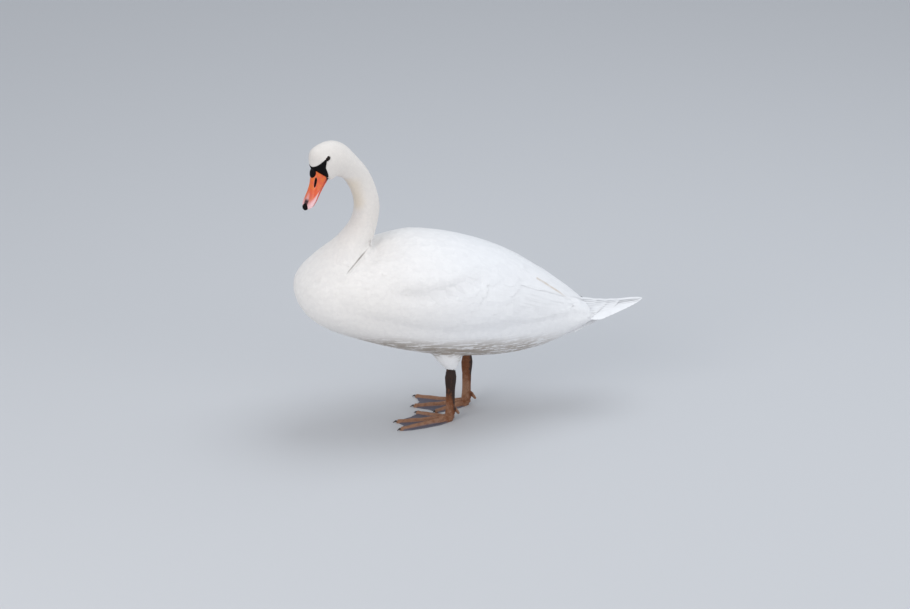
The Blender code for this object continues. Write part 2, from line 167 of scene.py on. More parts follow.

# Painted shade: a thin dark line deep in the crease beside the neck, and a tan one along the fold
# between the tertials.
crease_shade = eased(tree, line_gap(tree, either, (0.020, -0.240, 0.467), (0.094, -0.320, 0.422)), 0.0030, 0.0004)
ends = eased(tree, line_gap(tree, either, (0.066, -0.284, 0.442), (0.072, -0.290, 0.439)), 0.062, 0.010)
colour = mixed_colour(tree, times(tree, crease_shade, ends, 0.8), colour, SHADOW_BROWN)
# Painted shade, tan, along the fold of the tertials.
fold = eased(tree, line_gap(tree, either, (0.056, 0.152, 0.357), (0.050, 0.240, 0.292)), 0.0045, 0.0005)
colour = mixed_colour(tree, times(tree, fold, times(tree, fine, 1.2)), colour, FOLD_SHADE_TAN)
hue = mixed_colour(tree, eased(tree, fine, 0.35, 0.75), (0.97, 0.97, 0.97, 1.0), (1.0, 1.0, 1.0, 1.0))
colour = mixed_colour(tree, 1.0, colour, hue, "MULTIPLY")
tree.links.new(colour, tree.nodes.new("NodeGroupOutput").inputs[0])


def new_finish(name, roughness, **sockets):
    """A material with its tree and shader; the named sockets are set on the shader."""
    finish = bpy.data.materials.new(name)
    finish.use_nodes = True
    shader = finish.node_tree.nodes["Principled BSDF"]
    shader.inputs["Roughness"].default_value = roughness
    for socket, value in sockets.items():
        shader.inputs[socket.replace("_", " ").title().replace("Ior", "IOR")].default_value = value
    place = finish.node_tree.nodes.new("ShaderNodeTexCoord").outputs["Object"]
    return finish, finish.node_tree, shader, place


def add_bump(tree, shader, height, distance, strength=1.0):
    bump = add_node(tree, "ShaderNodeBump")
    bump.inputs["Strength"].default_value = strength
    bump.inputs["Distance"].default_value = distance
    tree.links.new(height, bump.inputs["Height"])
    tree.links.new(bump.outputs[0], shader.inputs["Normal"])


def smooth_step(value, start=0.0, end=1.0):
    share = np.clip((np.asarray(value, float) - start) / (end - start), 0.0, 1.0)
    return share * share * (3.0 - 2.0 * share)


def blend(value, start, end, low, high):
    return low + (high - low) * smooth_step(value, start, end)


def remeshed(shape, grain):
    """The shape's outer surface as one closed mesh of even faces, as arrays of corners and quads."""
    draft = bpy.data.meshes.new("draft")
    shape.to_mesh(draft)
    block = bpy.data.objects.new("draft", draft)
    bpy.context.scene.collection.objects.link(block)
    voxels = block.modifiers.new("voxels", "REMESH")
    voxels.mode = "VOXEL"
    voxels.voxel_size = grain
    view = bpy.context.evaluated_depsgraph_get()
    result = bmesh.new()
    result.from_mesh(block.evaluated_get(view).to_mesh())
    bpy.data.objects.remove(block)
    bpy.data.meshes.remove(draft)
    keep_outer(result)
    return result


def keep_outer(shape):
    """Drops the small closed pockets that remeshing leaves inside."""
    unseen = set(shape.verts)
    pieces = []
    while unseen:
        front = [unseen.pop()]
        piece = list(front)
        while front:
            vert = front.pop()
            beyond = {edge.other_vert(vert) for edge in vert.link_edges} & unseen
            unseen -= beyond
            piece.extend(beyond)
            front.extend(beyond)
        pieces.append(piece)
    pieces.sort(key=len)
    loose = [vert for piece in pieces[:-1] for vert in piece]
    if loose:
        bmesh.ops.delete(shape, geom=loose, context="VERTS")


def corners_of(shape):
    return np.array([vert.co for vert in shape.verts])


def edges_of(shape):
    shape.verts.index_update()
    return np.array([[vert.index for vert in edge.verts] for edge in shape.edges])


def neighbour_mean(values, edges):
    """The mean of each corner's neighbours."""
    count = len(values)
    total = np.zeros_like(values)
    for axis in range(values.shape[1]):
        total[:, axis] = np.bincount(edges[:, 0], values[edges[:, 1], axis], count)
        total[:, axis] += np.bincount(edges[:, 1], values[edges[:, 0], axis], count)
    links = np.bincount(edges.ravel(), minlength=count)[:, None]
    return total / np.maximum(links, 1)


def smoothed(values, edges, rounds):
    """Smooths without shrinking."""
    for _ in range(rounds):
        for strength in (0.5, -0.52):  # in, then out a little further
            values = values + (neighbour_mean(values, edges) - values) * strength
    return values


def normals_of(shape, places):
    for vert, place in zip(shape.verts, places.tolist()):
        vert.co = place
    shape.normal_update()
    return np.array([vert.normal for vert in shape.verts])


def merged_node(node):
    """A copy of a solid of the frame with its loose faces joined."""
    part = bmesh.new()
    part.from_mesh(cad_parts[node].data)
    bmesh.ops.remove_doubles(part, verts=part.verts, dist=1e-5)
    part.normal_update()
    return part


NODE_GAP = 0.0004  # more than the gap between neighbouring solids
WING_GAP = 0.0032  # the wing's inner wall is nearer to the trunk than this
trunk_shape = merged_node("trunk")
trunk_tree = BVHTree.FromBMesh(trunk_shape)
trunk_shape.free()


def joined(nodes):
    """The solids of these nodes in one shape, each grown a little so that neighbours meet. The inner
    walls of the wings sink into the trunk."""
    whole = bmesh.new()
    for node in nodes:
        part = merged_node(node)
        for vert in part.verts:
            vert.co += vert.normal * NODE_GAP
            if node.startswith("wing"):
                place, outward, _, gap = trunk_tree.find_nearest(vert.co)
                if gap < WING_GAP + NODE_GAP:
                    vert.co = place - outward * WING_GAP
        scrap = bpy.data.meshes.new("scrap")
        part.to_mesh(scrap)
        part.free()
        whole.from_mesh(scrap)
        bpy.data.meshes.remove(scrap)
    return whole


def middle_of(node):
    return np.mean(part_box(node), axis=0)


flesh = joined(FLESH + ("eye_left", "eye_right"))  # the balls fill their sockets
skin_shape = remeshed(flesh, SKIN_GRAIN)
flesh.free()

# The cuts between the nodes and the wings' front rims are smoothed away on the body, not on the neck.
first_edges = edges_of(skin_shape)
first_places = smoothed(corners_of(skin_shape), first_edges, 30)
body_share = smooth_step(first_places[:, 2], 0.52, 0.44) * smooth_step(first_places[:, 2], 0.17, 0.20)
body_share *= smooth_step(first_places[:, 1], 0.27, 0.20)
softer = smoothed(first_places, first_edges, 120)
fore = smooth_step(first_places[:, 1], 0.11, 0.02)
for _ in range(34):
    softer += (neighbour_mean(softer, first_edges) - softer) * (0.5 * fore * body_share)[:, None]
first_places += (softer - first_places) * body_share[:, None]
for vert, place in zip(skin_shape.verts, first_places.tolist()):
    vert.co = place
BILL_BASE = Vector(middle_of("bill_knob")) + Vector((0.0, 0.012, -0.014))
EYES = [Vector(middle_of(node)) for node in ("eye_left", "eye_right")]
for centres, reach in (([BILL_BASE], 0.062), (EYES, 0.015)):  # finer faces on the face and round the eyes
    fine = [
        edge for edge in skin_shape.edges
        if all(min((vert.co - centre).length for centre in centres) < reach for vert in edge.verts)
    ]
    bmesh.ops.subdivide_edges(skin_shape, edges=fine, cuts=1, use_grid_fill=True)
bmesh.ops.triangulate(skin_shape, faces=[face for face in skin_shape.faces if len(face.verts) > 4])
skin_edges = edges_of(skin_shape)
outside = smoothed(corners_of(skin_shape), skin_edges, 4)

# Folds that the plumage makes on each side, as three points of a bowed line on the left one: where the
# neck lies against the shoulder, under the scapulars, along the tertials and below the folded wing.
NECK_CREASE = ((0.000, -0.225, 0.475), (0.050, -0.265, 0.455), (0.105, -0.335, 0.410))
SCAPULAR_HOLLOW = ((0.140, -0.240, 0.390), (0.150, -0.110, 0.375), (0.095, 0.030, 0.400))
TERTIAL_FOLD = ((0.060, 0.045, 0.420), (0.060, 0.150, 0.365), (0.050, 0.270, 0.265))
WING_EDGE = ((0.140, -0.040, 0.270), (0.115, 0.090, 0.275), (0.030, 0.280, 0.270))
BOW_POINTS = 14  # of each curve
outside_faces = [[vert.index for vert in face.verts] for face in skin_shape.faces]
outside_tree = BVHTree.FromPolygons(outside.tolist(), outside_faces)


def bowed(start, middle, end):
    """A curve through three points, laid on the plumage."""
    share = np.linspace(0.0, 1.0, BOW_POINTS)[:, None]
    start, middle, end = (np.array(point) for point in (start, middle, end))
    curve = start * (1 - share) * (1 - 2 * share) + middle * 4 * share * (1 - share)
    curve += end * share * (2 * share - 1)
    return np.array([outside_tree.find_nearest(point)[0] for point in curve.tolist()])


def beside_line(places, line):
    """How far each place is from a line of points, its offset from there and its share of the length."""
    steps = line[1:] - line[:-1]
    lengths = np.linalg.norm(steps, axis=1)
    starts = np.concatenate([[0.0], np.cumsum(lengths)])
    gap, along, rest = np.full(len(places), np.inf), np.zeros(len(places)), np.zeros_like(places)
    for start, step, length, before in zip(line[:-1], steps, lengths, starts[:-1]):
        share = np.clip((places - start) @ step / length ** 2, 0.0, 1.0)
        offset = places - (start + share[:, None] * step)
        distance = np.linalg.norm(offset, axis=1)
        nearer = distance < gap
        gap[nearer], rest[nearer] = distance[nearer], offset[nearer]
        along[nearer] = (before + share * length)[nearer] / starts[-1]
    return gap, rest, along


def beside(places, line, upper):
    """How far each place is from a fold of either side, less than nothing on the side that faces away
    from upper, and how far along the fold."""
    places = np.abs(places) * (1.0, 0.0, 0.0) + places * (0.0, 1.0, 1.0)
    gap, rest, along = beside_line(places, bowed(*line))
    return np.where(rest @ np.array(upper) >= 0.0, gap, -gap), along


def bell(value, middle, width):
    """1 at the middle, falling off on both sides."""
    return np.exp(-((value - middle) / width) ** 2)


outwards = normals_of(skin_shape, outside)
gap, along = beside(outside, NECK_CREASE, (0.6, 0.8, 0.0))
taper = smooth_step(along, 1.0, 0.60)
shoulder, neck_side = 0.0016 * np.exp(-gap / 0.020), 0.0042 * np.exp(gap / 0.012)
swell = np.where(gap > 0.0, shoulder, neck_side) * np.tanh(gap / 0.0016) * taper
swell -= 0.0030 * bell(gap, 0.0, 0.0035) * taper
notch = np.linalg.norm((outside - (0.0, -0.205, 0.462)) * (0.5, 1.0, 1.0), axis=1)
swell -= 0.0045 * bell(notch, 0.0, 0.036)
gap, along = beside(outside, SCAPULAR_HOLLOW, (0.0, 0.0, 1.0))
taper = smooth_step(along, 0.0, 0.25) * smooth_step(along, 1.0, 0.75)
swell += (0.0042 * bell(gap, 0.030, 0.022) - 0.0072 * bell(gap, -0.004, 0.015)) * taper
gap, along = beside(outside, TERTIAL_FOLD, (0.0, 0.3, 1.0))
taper = smooth_step(along, 0.0, 0.35) * smooth_step(along, 1.0, 0.9)
swell += (0.0016 * np.tanh(gap / 0.0022) - 0.0008) * np.exp(-np.abs(gap) / 0.022) * taper
gap, along = beside(outside, WING_EDGE, (0.0, 0.0, 1.0))
taper = smooth_step(along, 0.05, 0.40) * smooth_step(along, 1.0, 0.85)
over_flank = blend(along, 0.35, 0.60, 1.0, -1.15)  # the flank feathers lie over the hind part of the wing
edge_step = np.tanh(gap / blend(along, 0.35, 0.60, 0.0025, 0.0090)) * over_flank
swell += (0.0024 * edge_step - 0.0004) * np.exp(-np.abs(gap) / 0.026) * taper
outside = outside + outwards * swell[:, None]
outside = smoothed(outside, skin_edges, 2)

# The lores are bare black skin from the eye down to the bill, the same on both sides. The outline
# is (y, z) in a side view of the head before its turn.
LORES = (
    (-0.3775, 0.7045), (-0.389, 0.6955), (-0.403, 0.683), (-0.430, 0.660),
    (-0.390, 0.630), (-0.371, 0.655), (-0.382, 0.682),
)


def unturned(places):
    """Places on the head as they would be if it looked straight ahead."""
    level = places - (0.0, TURN_AXIS_Y, 0.0)
    cosine, sine = math.cos(HEAD_TURN), math.sin(HEAD_TURN)
    x = level[:, 0] * cosine + level[:, 1] * sine
    y = -level[:, 0] * sine + level[:, 1] * cosine + TURN_AXIS_Y
    return np.stack([x, y, places[:, 2]], 1)


def bareness(places):
    """How far inside the lores' outline each place is, in metres; negative outside."""
    spots = unturned(places)[:, 1:]
    outline = np.array(LORES + LORES[:1])
    gap = beside_line(spots, outline)[0]
    inside_lores = np.zeros(len(spots), bool)
    for start, end in zip(outline[:-1], outline[1:]):
        crosses = (start[1] > spots[:, 1]) != (end[1] > spots[:, 1])
        slope = (end[0] - start[0]) / (end[1] - start[1])
        inside_lores ^= crosses & (spots[:, 0] < start[0] + (spots[:, 1] - start[1]) * slope)
    return np.where(inside_lores & (places[:, 2] > 0.62), gap, -gap)


# Depth of the plumage: next to nothing at the bill, thin on the face, thick on the body.
THIGH_TOP = 0.175
TAIL_START = 0.285
TAIL_LEVEL = 0.243
from_bill = np.linalg.norm(outside - np.array(BILL_BASE), axis=1)
plume = 0.0004 + 0.0010 * smooth_step(from_bill, 0.018, 0.045) + 0.0024 * smooth_step(from_bill, 0.07, 0.16)
plume += 0.0010 * smooth_step(outside[:, 2], 0.50, 0.40)
plume -= 0.0016 * smooth_step(outside[:, 2], THIGH_TOP + 0.012, THIGH_TOP - 0.020)
plume -= 0.0034 * smooth_step(outside[:, 1], TAIL_START - 0.05, TAIL_START + 0.03)
plume *= 1.0 - 0.8 * smooth_step(bareness(outside), -0.001, 0.002)
plume = neighbour_mean(plume[:, None], skin_edges)[:, 0]
outwards = normals_of(skin_shape, outside)
inside = outside - outwards * plume[:, None]
tail_rows = inside[:, 1] > TAIL_START
inside[tail_rows, 1] = TAIL_START + (inside[tail_rows, 1] - TAIL_START) * 0.42
slimmer = smooth_step(inside[:, 1], TAIL_START - 0.03, TAIL_START + 0.05)
inside[:, 0] *= 1.0 - 0.40 * slimmer
inside[:, 2] += (TAIL_LEVEL - inside[:, 2]) * 0.45 * slimmer
inside = smoothed(inside, skin_edges, 6)
normals_of(skin_shape, inside)

# The lie of the feathers: they run like a stream from the bill to the tail and down the thighs.
LIE_GRAIN = 0.0065
lie_shape = remeshed(skin_shape, LIE_GRAIN)
lie_edges = edges_of(lie_shape)
lie_places = smoothed(corners_of(lie_shape), lie_edges, 6)
lie_outwards = normals_of(lie_shape, lie_places)


def stream(places, edges, held, level):
    """Levels that run evenly between the held corners, by conjugate gradients."""
    count = len(places)
    links = np.bincount(edges.ravel(), minlength=count).astype(float)

    def unevenness(values):
        total = np.bincount(edges[:, 0], values[edges[:, 1]], count)
        total += np.bincount(edges[:, 1], values[edges[:, 0]], count)
        return np.where(held, 0.0, links * values - total)

    values = np.where(held, level, 0.5)
    rest = -unevenness(values)
    way = rest / links
    strength = rest @ (rest / links)
    for _ in range(900):  # it settles long before
        pull = unevenness(np.where(held, 0.0, way))
        size = strength / max(way @ pull, 1e-30)
        values = values + size * way
        rest = rest - size * pull
        new_strength = rest @ (rest / links)
        if new_strength < 1e-16:
            break
        way = rest / links + way * (new_strength / strength)
        way[held] = 0.0
        strength = new_strength
    return values


THIGH_END_LEVEL = 0.93
near_bill = np.linalg.norm(lie_places - np.array(BILL_BASE), axis=1) < 0.024
near_tail = lie_places[:, 1] > lie_places[:, 1].max() - 0.02
thigh_ends = lie_places[:, 2] < lie_places[:, 2].min() + 0.008
held = near_bill | near_tail | thigh_ends
level = np.where(near_bill, 0.0, np.where(thigh_ends, THIGH_END_LEVEL, 1.0))
lie_level = stream(lie_places, lie_edges, held, level)
lie = np.zeros_like(lie_places)
for first, last in (lie_edges.T, lie_edges.T[::-1]):
    offset = lie_places[last] - lie_places[first]
    rise = (lie_level[last] - lie_level[first]) / (offset ** 2).sum(axis=1)
    for axis in range(3):
        lie[:, axis] += np.bincount(first, rise * offset[:, axis], len(lie))


def unit(vectors):
    return vectors / np.maximum(np.linalg.norm(vectors, axis=1), 1e-12)[:, None]


def flat_on(vectors, outwards):
    """The vectors turned into the surface, at length 1."""
    return unit(vectors - outwards * (vectors * outwards).sum(axis=1)[:, None])


lie = flat_on(lie, lie_outwards)
for _ in range(6):
    lie = flat_on(lie + neighbour_mean(lie, lie_edges), lie_outwards)


# The socket and lids of each eye: the skin dips behind the ball and rises in a thin rim round it.
EYE_SIZE = 0.0078  # radius of the ball
EYE_SINK = 0.0013  # how much deeper the ball sits than the solid of the frame
LID_OPENING = 0.0043
LID_RIM = 0.0008
LID_WIDTH = 0.0074
EYE_SLANT = Vector((0.0, -0.62, -0.78))  # the opening is longer this way, towards the bill


def oval_reach(offset, way):
    """How far offsets from an eye's middle are from its axis, less along the slant of its opening."""
    across = offset - (offset @ np.array(way))[:, None] * np.array(way)
    slant = Matrix.Rotation(HEAD_TURN, 3, "Z") @ EYE_SLANT
    slant = np.array((slant - Vector(way) * slant.dot(Vector(way))).normalized())
    along = across @ slant
    return np.sqrt(np.maximum((across ** 2).sum(axis=1) - along ** 2, 0.0) * 1.35 + along ** 2 * 0.80)


inside = corners_of(skin_shape)
outwards = normals_of(skin_shape, inside)
eye_ways = []
for centre in EYES:
    offset = inside - np.array(centre)
    ring = (offset ** 2).sum(axis=1) < 0.014 ** 2
    way = outwards[ring].mean(axis=0)
    way /= np.linalg.norm(way)
    eye_ways.append(Vector(way))
    height = offset @ way
    reach = oval_reach(offset, way)
    near = (reach < LID_WIDTH) & (height > -0.004) & (height < 0.02)
    ball = math.sqrt(EYE_SIZE ** 2 - LID_OPENING ** 2) - EYE_SINK + LID_RIM
    rim = ball - (reach - LID_OPENING) * 0.35 - 4.0 * (reach - LID_OPENING) ** 2
    share = smooth_step(reach, LID_OPENING + 0.001, LID_WIDTH)
    lid = rim * (1.0 - share) + height * share
    socket = smooth_step(reach, LID_OPENING - 0.0008, LID_OPENING + 0.0002)
    target = 0.001 * (1.0 - socket) + lid * socket
    inside[near] += (way * (target - height)[:, None])[near]
outwards = normals_of(skin_shape, inside)


def surface_reader(places, faces, fields):
    """Reads a surface's fields at the spots nearest to any points."""
    tree = BVHTree.FromPolygons(places.tolist(), faces.tolist())

    def read(points, *names):
        spots = np.empty((len(points), 3))
        hits = np.empty(len(points), int)
        for number, point in enumerate(points.tolist()):
            spots[number], _, hits[number], _ = tree.find_nearest(point)
        corners = faces[hits]
        start, first, second = (places[corners[:, number]] for number in range(3))
        first, second, offset = first - start, second - start, spots - start
        one, two, both = (first * first).sum(1), (second * second).sum(1), (first * second).sum(1)
        along_first, along_second = (offset * first).sum(1), (offset * second).sum(1)
        area = np.maximum(one * two - both * both, 1e-20)
        share_first = (two * along_first - both * along_second) / area
        share_second = (one * along_second - both * along_first) / area
        shares = np.stack([1.0 - share_first - share_second, share_first, share_second], 1)
        shares = np.clip(shares, 0.0, 1.0)
        shares /= shares.sum(1)[:, None]
        found = [spots]
        for name in names:
            values = fields[name][corners]
            found.append((values * shares.reshape(shares.shape + (1,) * (values.ndim - 2))).sum(1))
        return found

    return read


def triangles_of(shape):
    return np.array([[loop.vert.index for loop in corner] for corner in shape.calc_loop_triangles()])


# The unwrap of the skin, on which every feather has a small patch of its own.
lie_mesh = bpy.data.meshes.new("lie")
lie_shape.to_mesh(lie_mesh)
lie_skin = bpy.data.objects.new("lie", lie_mesh)
bpy.context.scene.collection.objects.link(lie_skin)
bpy.context.view_layer.objects.active = lie_skin
lie_mesh.uv_layers.new(name="unwrap")
bpy.ops.object.mode_set(mode="EDIT")
bpy.ops.mesh.select_all(action="SELECT")
bpy.ops.uv.smart_project(angle_limit=math.radians(66.0), island_margin=0.004, area_weight=0.5)
bpy.ops.object.mode_set(mode="OBJECT")
lie_mesh.calc_loop_triangles()
unwrap = np.empty(2 * len(lie_mesh.loops))
lie_mesh.uv_layers["unwrap"].data.foreach_get("uv", unwrap)
unwrap = unwrap.reshape(-1, 2)
face_loops = np.array([triangle.loops for triangle in lie_mesh.loop_triangles])
face_corners = np.array([triangle.vertices for triangle in lie_mesh.loop_triangles])
split_places = lie_places[face_corners.ravel()]
split_faces = np.arange(len(split_places)).reshape(-1, 3)
read_unwrap = surface_reader(split_places, split_faces, {"unwrap": unwrap[face_loops.ravel()]})
bpy.data.objects.remove(lie_skin)
bpy.data.meshes.remove(lie_mesh)

read_lie = surface_reader(lie_places, face_corners, {"lie": lie, "level": lie_level})
skin_faces = triangles_of(skin_shape)
skin_lie, skin_level = read_lie(inside, "lie", "level")[1:]
skin_lie = flat_on(skin_lie, outwards)
read_skin = surface_reader(
    inside, skin_faces, {"out": outwards, "lie": skin_lie, "level": skin_level, "plume": plume}
)

# ---- Feather making ----------------------------------------------------------------------------
# Each feather is one thin closed vane with a round tip, that starts at its root on the skin, follows
# the lie of the coat and rises towards its tip. All vanes of a tract are one mesh.
WIDE_KINDS = ("wing covert", "flight")  # vanes of five columns instead of three
FEATHER_ROWS = {  # places along the vane from root to tip, and half widths there
    "down": ((0.0, 0.45, 0.85, 1.0), (0.0, 0.90, 0.72, 0.0)),
    "small": ((0.0, 0.32, 0.70, 0.93, 1.0), (0.0, 0.80, 1.0, 0.55, 0.0)),
    "body": ((0.0, 0.24, 0.52, 0.78, 0.94, 1.0), (0.0, 0.70, 1.0, 0.90, 0.48, 0.0)),
    "covert": ((0.0, 0.16, 0.40, 0.65, 0.84, 0.955, 1.0), (0.0, 0.60, 0.95, 1.0, 0.84, 0.46, 0.0)),
    "flight": (
        (0.0, 0.10, 0.28, 0.50, 0.70, 0.85, 0.94, 0.985, 1.0),
        (0.0, 0.50, 0.86, 1.00, 1.00, 0.88, 0.66, 0.32, 0.0),
    ),
}
FEATHER_ROWS["wing covert"] = FEATHER_ROWS["covert"]
FREE_GAP = 0.0006  # a vane that is further than about this off the skin stands free of it
SHARPEST_BEND = 0.80  # cosine of the most that a vane bends between two of its rows
BARE_MARGIN = 0.0006  # no feather is rooted nearer than this to the lores
BAKE_PATCH = 0.003  # size of each feather's patch on the unwrap
VANE_CREASE = math.radians(55.0)  # edges of a vane sharper than this aren't smoothed


def new_piece(name, form, finish, **fields):
    """A piece from its shape or its mesh, with numbers that its finish reads at each corner."""
    mesh = form
    if isinstance(form, bmesh.types.BMesh):
        mesh = bpy.data.meshes.new(name)
        form.to_mesh(mesh)
        form.free()
    for field, values in fields.items():
        mesh.attributes.new(field, "FLOAT", "POINT").data.foreach_set("value", values)
    mesh.polygons.foreach_set("use_smooth", [True] * len(mesh.polygons))
    mesh.materials.append(finish)
    piece = bpy.data.objects.new(name, mesh)
    bpy.context.scene.collection.objects.link(piece)
    return piece


def vane(kind):
    """One vane as a closed lens of few faces. A corner's x is its column, y its row and z its layer."""
    rows = len(FEATHER_ROWS[kind][0]) - 1
    edge = 2 if kind in WIDE_KINDS else 1
    shape = bmesh.new()
    bmesh.ops.create_grid(shape, x_segments=2 * edge, y_segments=rows, size=1.0)
    for vert in shape.verts:
        row = round((vert.co.y + 1.0) / 2.0 * rows)
        column = 0 if row in (0, rows) else round(vert.co.x * edge)
        vert.co = (column, row, 0.0)
    under = bmesh.ops.duplicate(shape, geom=shape.faces[:])["geom"]
    under_faces = [item for item in under if isinstance(item, bmesh.types.BMFace)]
    bmesh.ops.reverse_faces(shape, faces=under_faces)
    under_verts = {vert for face in under_faces for vert in face.verts}
    for vert in shape.verts:
        if vert not in under_verts and abs(vert.co.x) < edge and 0 < vert.co.y < rows:
            vert.co.z = 1.0
    bmesh.ops.remove_doubles(shape, verts=shape.verts, dist=1e-4)
    lengthwise = [
        line for line in shape.edges
        if all(abs(vert.co.x) < edge and vert.co.z == 0 for vert in line.verts)
        and line.verts[0].co.y != line.verts[1].co.y
    ]
    bmesh.ops.dissolve_edges(shape, edges=lengthwise, use_verts=True)
    bmesh.ops.triangulate(shape, faces=shape.faces)
    shape.verts.index_update()
    labels = np.round([vert.co for vert in shape.verts]).astype(int)
    faces = np.array([[vert.index for vert in face.verts] for face in shape.faces])
    shape.free()
    return labels, faces


def followed(roots, ways, lengths, kind, stiffness):
    """Centre lines of feathers that start at the roots and follow the lie of the coat over the skin. A
    vane that runs past the end of the skin goes straight on."""
    shares = FEATHER_ROWS[kind][0]
    out = unit(read_skin(roots, "out")[1])
    line, outs = [roots], [out]
    for before, after in zip(shares, shares[1:]):
        step = lengths * (after - before)
        ahead = line[-1] + ways * step[:, None]
        spots, lies, normal = read_skin(ahead, "lie", "out")
        free = (np.linalg.norm(spots - ahead, axis=1) > FREE_GAP + 0.35 * step)[:, None]
        spots = np.where(free, ahead, spots)
        out = np.where(free, out, unit(normal))
        turned = flat_on(ways * stiffness + flat_on(lies, out) * (1.0 - stiffness), out)
        ways = np.where(free, ways, turned)
        line.append(spots)
        outs.append(out)
    return np.stack(line, 1), np.stack(outs, 1)


def feather_piece(
    name, kind, line, out, widths, lift, tilt, patches, bow, root=0.68, loose=False, spring=0.30
):
    """All feathers of one tract as one mesh. line holds the centre lines on the skin, lift the height
    of each tip over the skin or of each row, root the share of it at the root, tilt how much the lower
    edge stands over the upper, bow the shaft's rise. A loose piece stands clear of the skin, flat on
    its own out."""
    shares, halves = (np.array(values) for values in FEATHER_ROWS[kind])
    labels, faces = vane(kind)
    count, rows = line.shape[:2]
    ahead = np.gradient(line, axis=1)
    side = np.cross(out, ahead)
    side /= np.maximum(np.linalg.norm(side, axis=2), 1e-9)[:, :, None]
    height = lift if lift.ndim == 2 else lift[:, None] * (root + (1.0 - root) * shares ** 0.85)[None]
    places = np.empty((count, len(labels), 3))
    edge = labels[:, 0].max()
    for column in range(-edge, edge + 1):
        across = column / edge
        half = widths[:, None] / 2.0 * halves
        points = line + side * (across * half)[:, :, None]
        normal = out
        if column:
            spots, outwards_there = read_skin(points.reshape(-1, 3), "out")
            spots, outwards_there = spots.reshape(line.shape), unit(outwards_there).reshape(line.shape)
            free = (np.linalg.norm(spots - points, axis=2) > FREE_GAP + spring * half)[:, :, None] | loose
            points = np.where(free, points, spots)
            normal = np.where(free, out, outwards_there)
        rise = height + tilt[:, None] * across * halves[None]
        rise = rise + widths[:, None] * bow * (1.0 - across ** 2) * halves[None]
        points = points + normal * rise[:, :, None]
        chosen = labels[:, 0] == column
        places[:, chosen] = points[:, labels[chosen, 1]]
    mesh = bpy.data.meshes.new(name)
    whole = (faces[None] + np.arange(count)[:, None, None] * len(labels)).reshape(-1)
    mesh.vertices.add(count * len(labels))
    mesh.vertices.foreach_set("co", places.ravel())
    mesh.loops.add(len(whole))
    mesh.loops.foreach_set("vertex_index", whole)
    mesh.polygons.add(len(whole) // 3)
    mesh.polygons.foreach_set("loop_start", np.arange(0, len(whole), 3))
    mesh.update(calc_edges=True)
    corner = labels[faces.ravel()]
    patch = np.stack([corner[:, 0] / (2.0 * edge), corner[:, 1] / (rows - 1.0) - 0.5], 1) * BAKE_PATCH
    bake = mesh.uv_layers.new(name="OFBake")
    bake.data.foreach_set("uv", np.clip(patches[:, None] + patch[None], 0.0, 1.0).ravel())
    mesh.set_sharp_from_angle(angle=VANE_CREASE)
    tones = np.repeat(np.random.default_rng(len(name)).random(count), len(labels))
    piece = new_piece(name, mesh, feather_finish, tone=tones)
    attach(piece, "root")


def field_of(tree, name):
    """The numbers that a piece holds at its corners under this name."""
    return add_node(tree, "ShaderNodeAttribute", attribute_name=name).outputs["Fac"]


# Feather: the markings and painted shade, a little lighter or darker on each feather, with a fine
# grain along the body.
feather_finish, tree, shader, place = new_finish("feather", 0.62, sheen_weight=0.15, sheen_roughness=0.6)
shader.inputs["Sheen Tint"].default_value = (1.0, 1.0, 1.0, 1.0)
marked_and_shaded = add_node(tree, "ShaderNodeGroup", node_tree=markings_and_shade, in_0=place)
tone = field_of(tree, "tone")
shade = mixed_colour(tree, tone, (0.955, 0.955, 0.96, 1.0), (1.0, 1.0, 1.0, 1.0))
toned = mixed_colour(tree, 1.0, marked_and_shaded.outputs[0], shade, "MULTIPLY")
tree.links.new(toned, shader.inputs["Base Color"])
grain = noise_of(tree, place, 0.0016, detail=2.0)
add_bump(tree, shader, grain, 0.0002, 0.35)

# Candidate roots, spread evenly over the skin.
random_numbers = np.random.default_rng(7)
first, second, third = (inside[skin_faces[:, number]] for number in range(3))
face_ways = np.cross(second - first, third - first)
face_areas = np.linalg.norm(face_ways, axis=1) / 2.0
face_ways = unit(face_ways)
TRIES = 5.0  # candidates for each root that there is room for
AROUND = [(a, b, c) for a in (-1, 0, 1) for b in (-1, 0, 1) for c in (-1, 0, 1)]


def scattered(mask_of, spacing_of):
    """Roots on the skin where mask_of says so, no nearer to each other than their spacing."""
    faces_level = skin_level[skin_faces].mean(axis=1)
    middle = (first + second + third) / 3.0
    chosen = mask_of(middle, faces_level)
    spacing = spacing_of(middle, faces_level)
    weight = face_areas * chosen / spacing ** 2
    count = int(weight.sum() * TRIES)
    picked = random_numbers.choice(len(weight), count, p=weight / weight.sum())
    one, two = random_numbers.random(count), random_numbers.random(count)
    flip = one + two > 1.0
    one[flip], two[flip] = 1.0 - one[flip], 1.0 - two[flip]
    start = first[picked]
    points = start + (second[picked] - start) * one[:, None] + (third[picked] - start) * two[:, None]
    spacing = spacing[picked]
    cell = spacing.max()
    grid, kept = {}, []
    for number, (x, y, z, gap) in enumerate(np.column_stack([points, spacing]).tolist()):
        key = (int(x // cell), int(y // cell), int(z // cell))
        cells = (grid.get((key[0] + a, key[1] + b, key[2] + c), ()) for a, b, c in AROUND)
        near = (spot for spots in cells for spot in spots)
        if all((px - x) ** 2 + (py - y) ** 2 + (pz - z) ** 2 >= gap * gap for px, py, pz in near):
            grid.setdefault(key, []).append((x, y, z))
            kept.append(number)
    return points[kept]


def graded(start, end, low, high, axis=None):
    """A size that grows from low to high along the lie of the coat, or along an axis."""
    return lambda at, level: blend(level if axis is None else at[:, axis], start, end, low, high)


def even(size):
    return graded(0.0, 1.0, size, size)


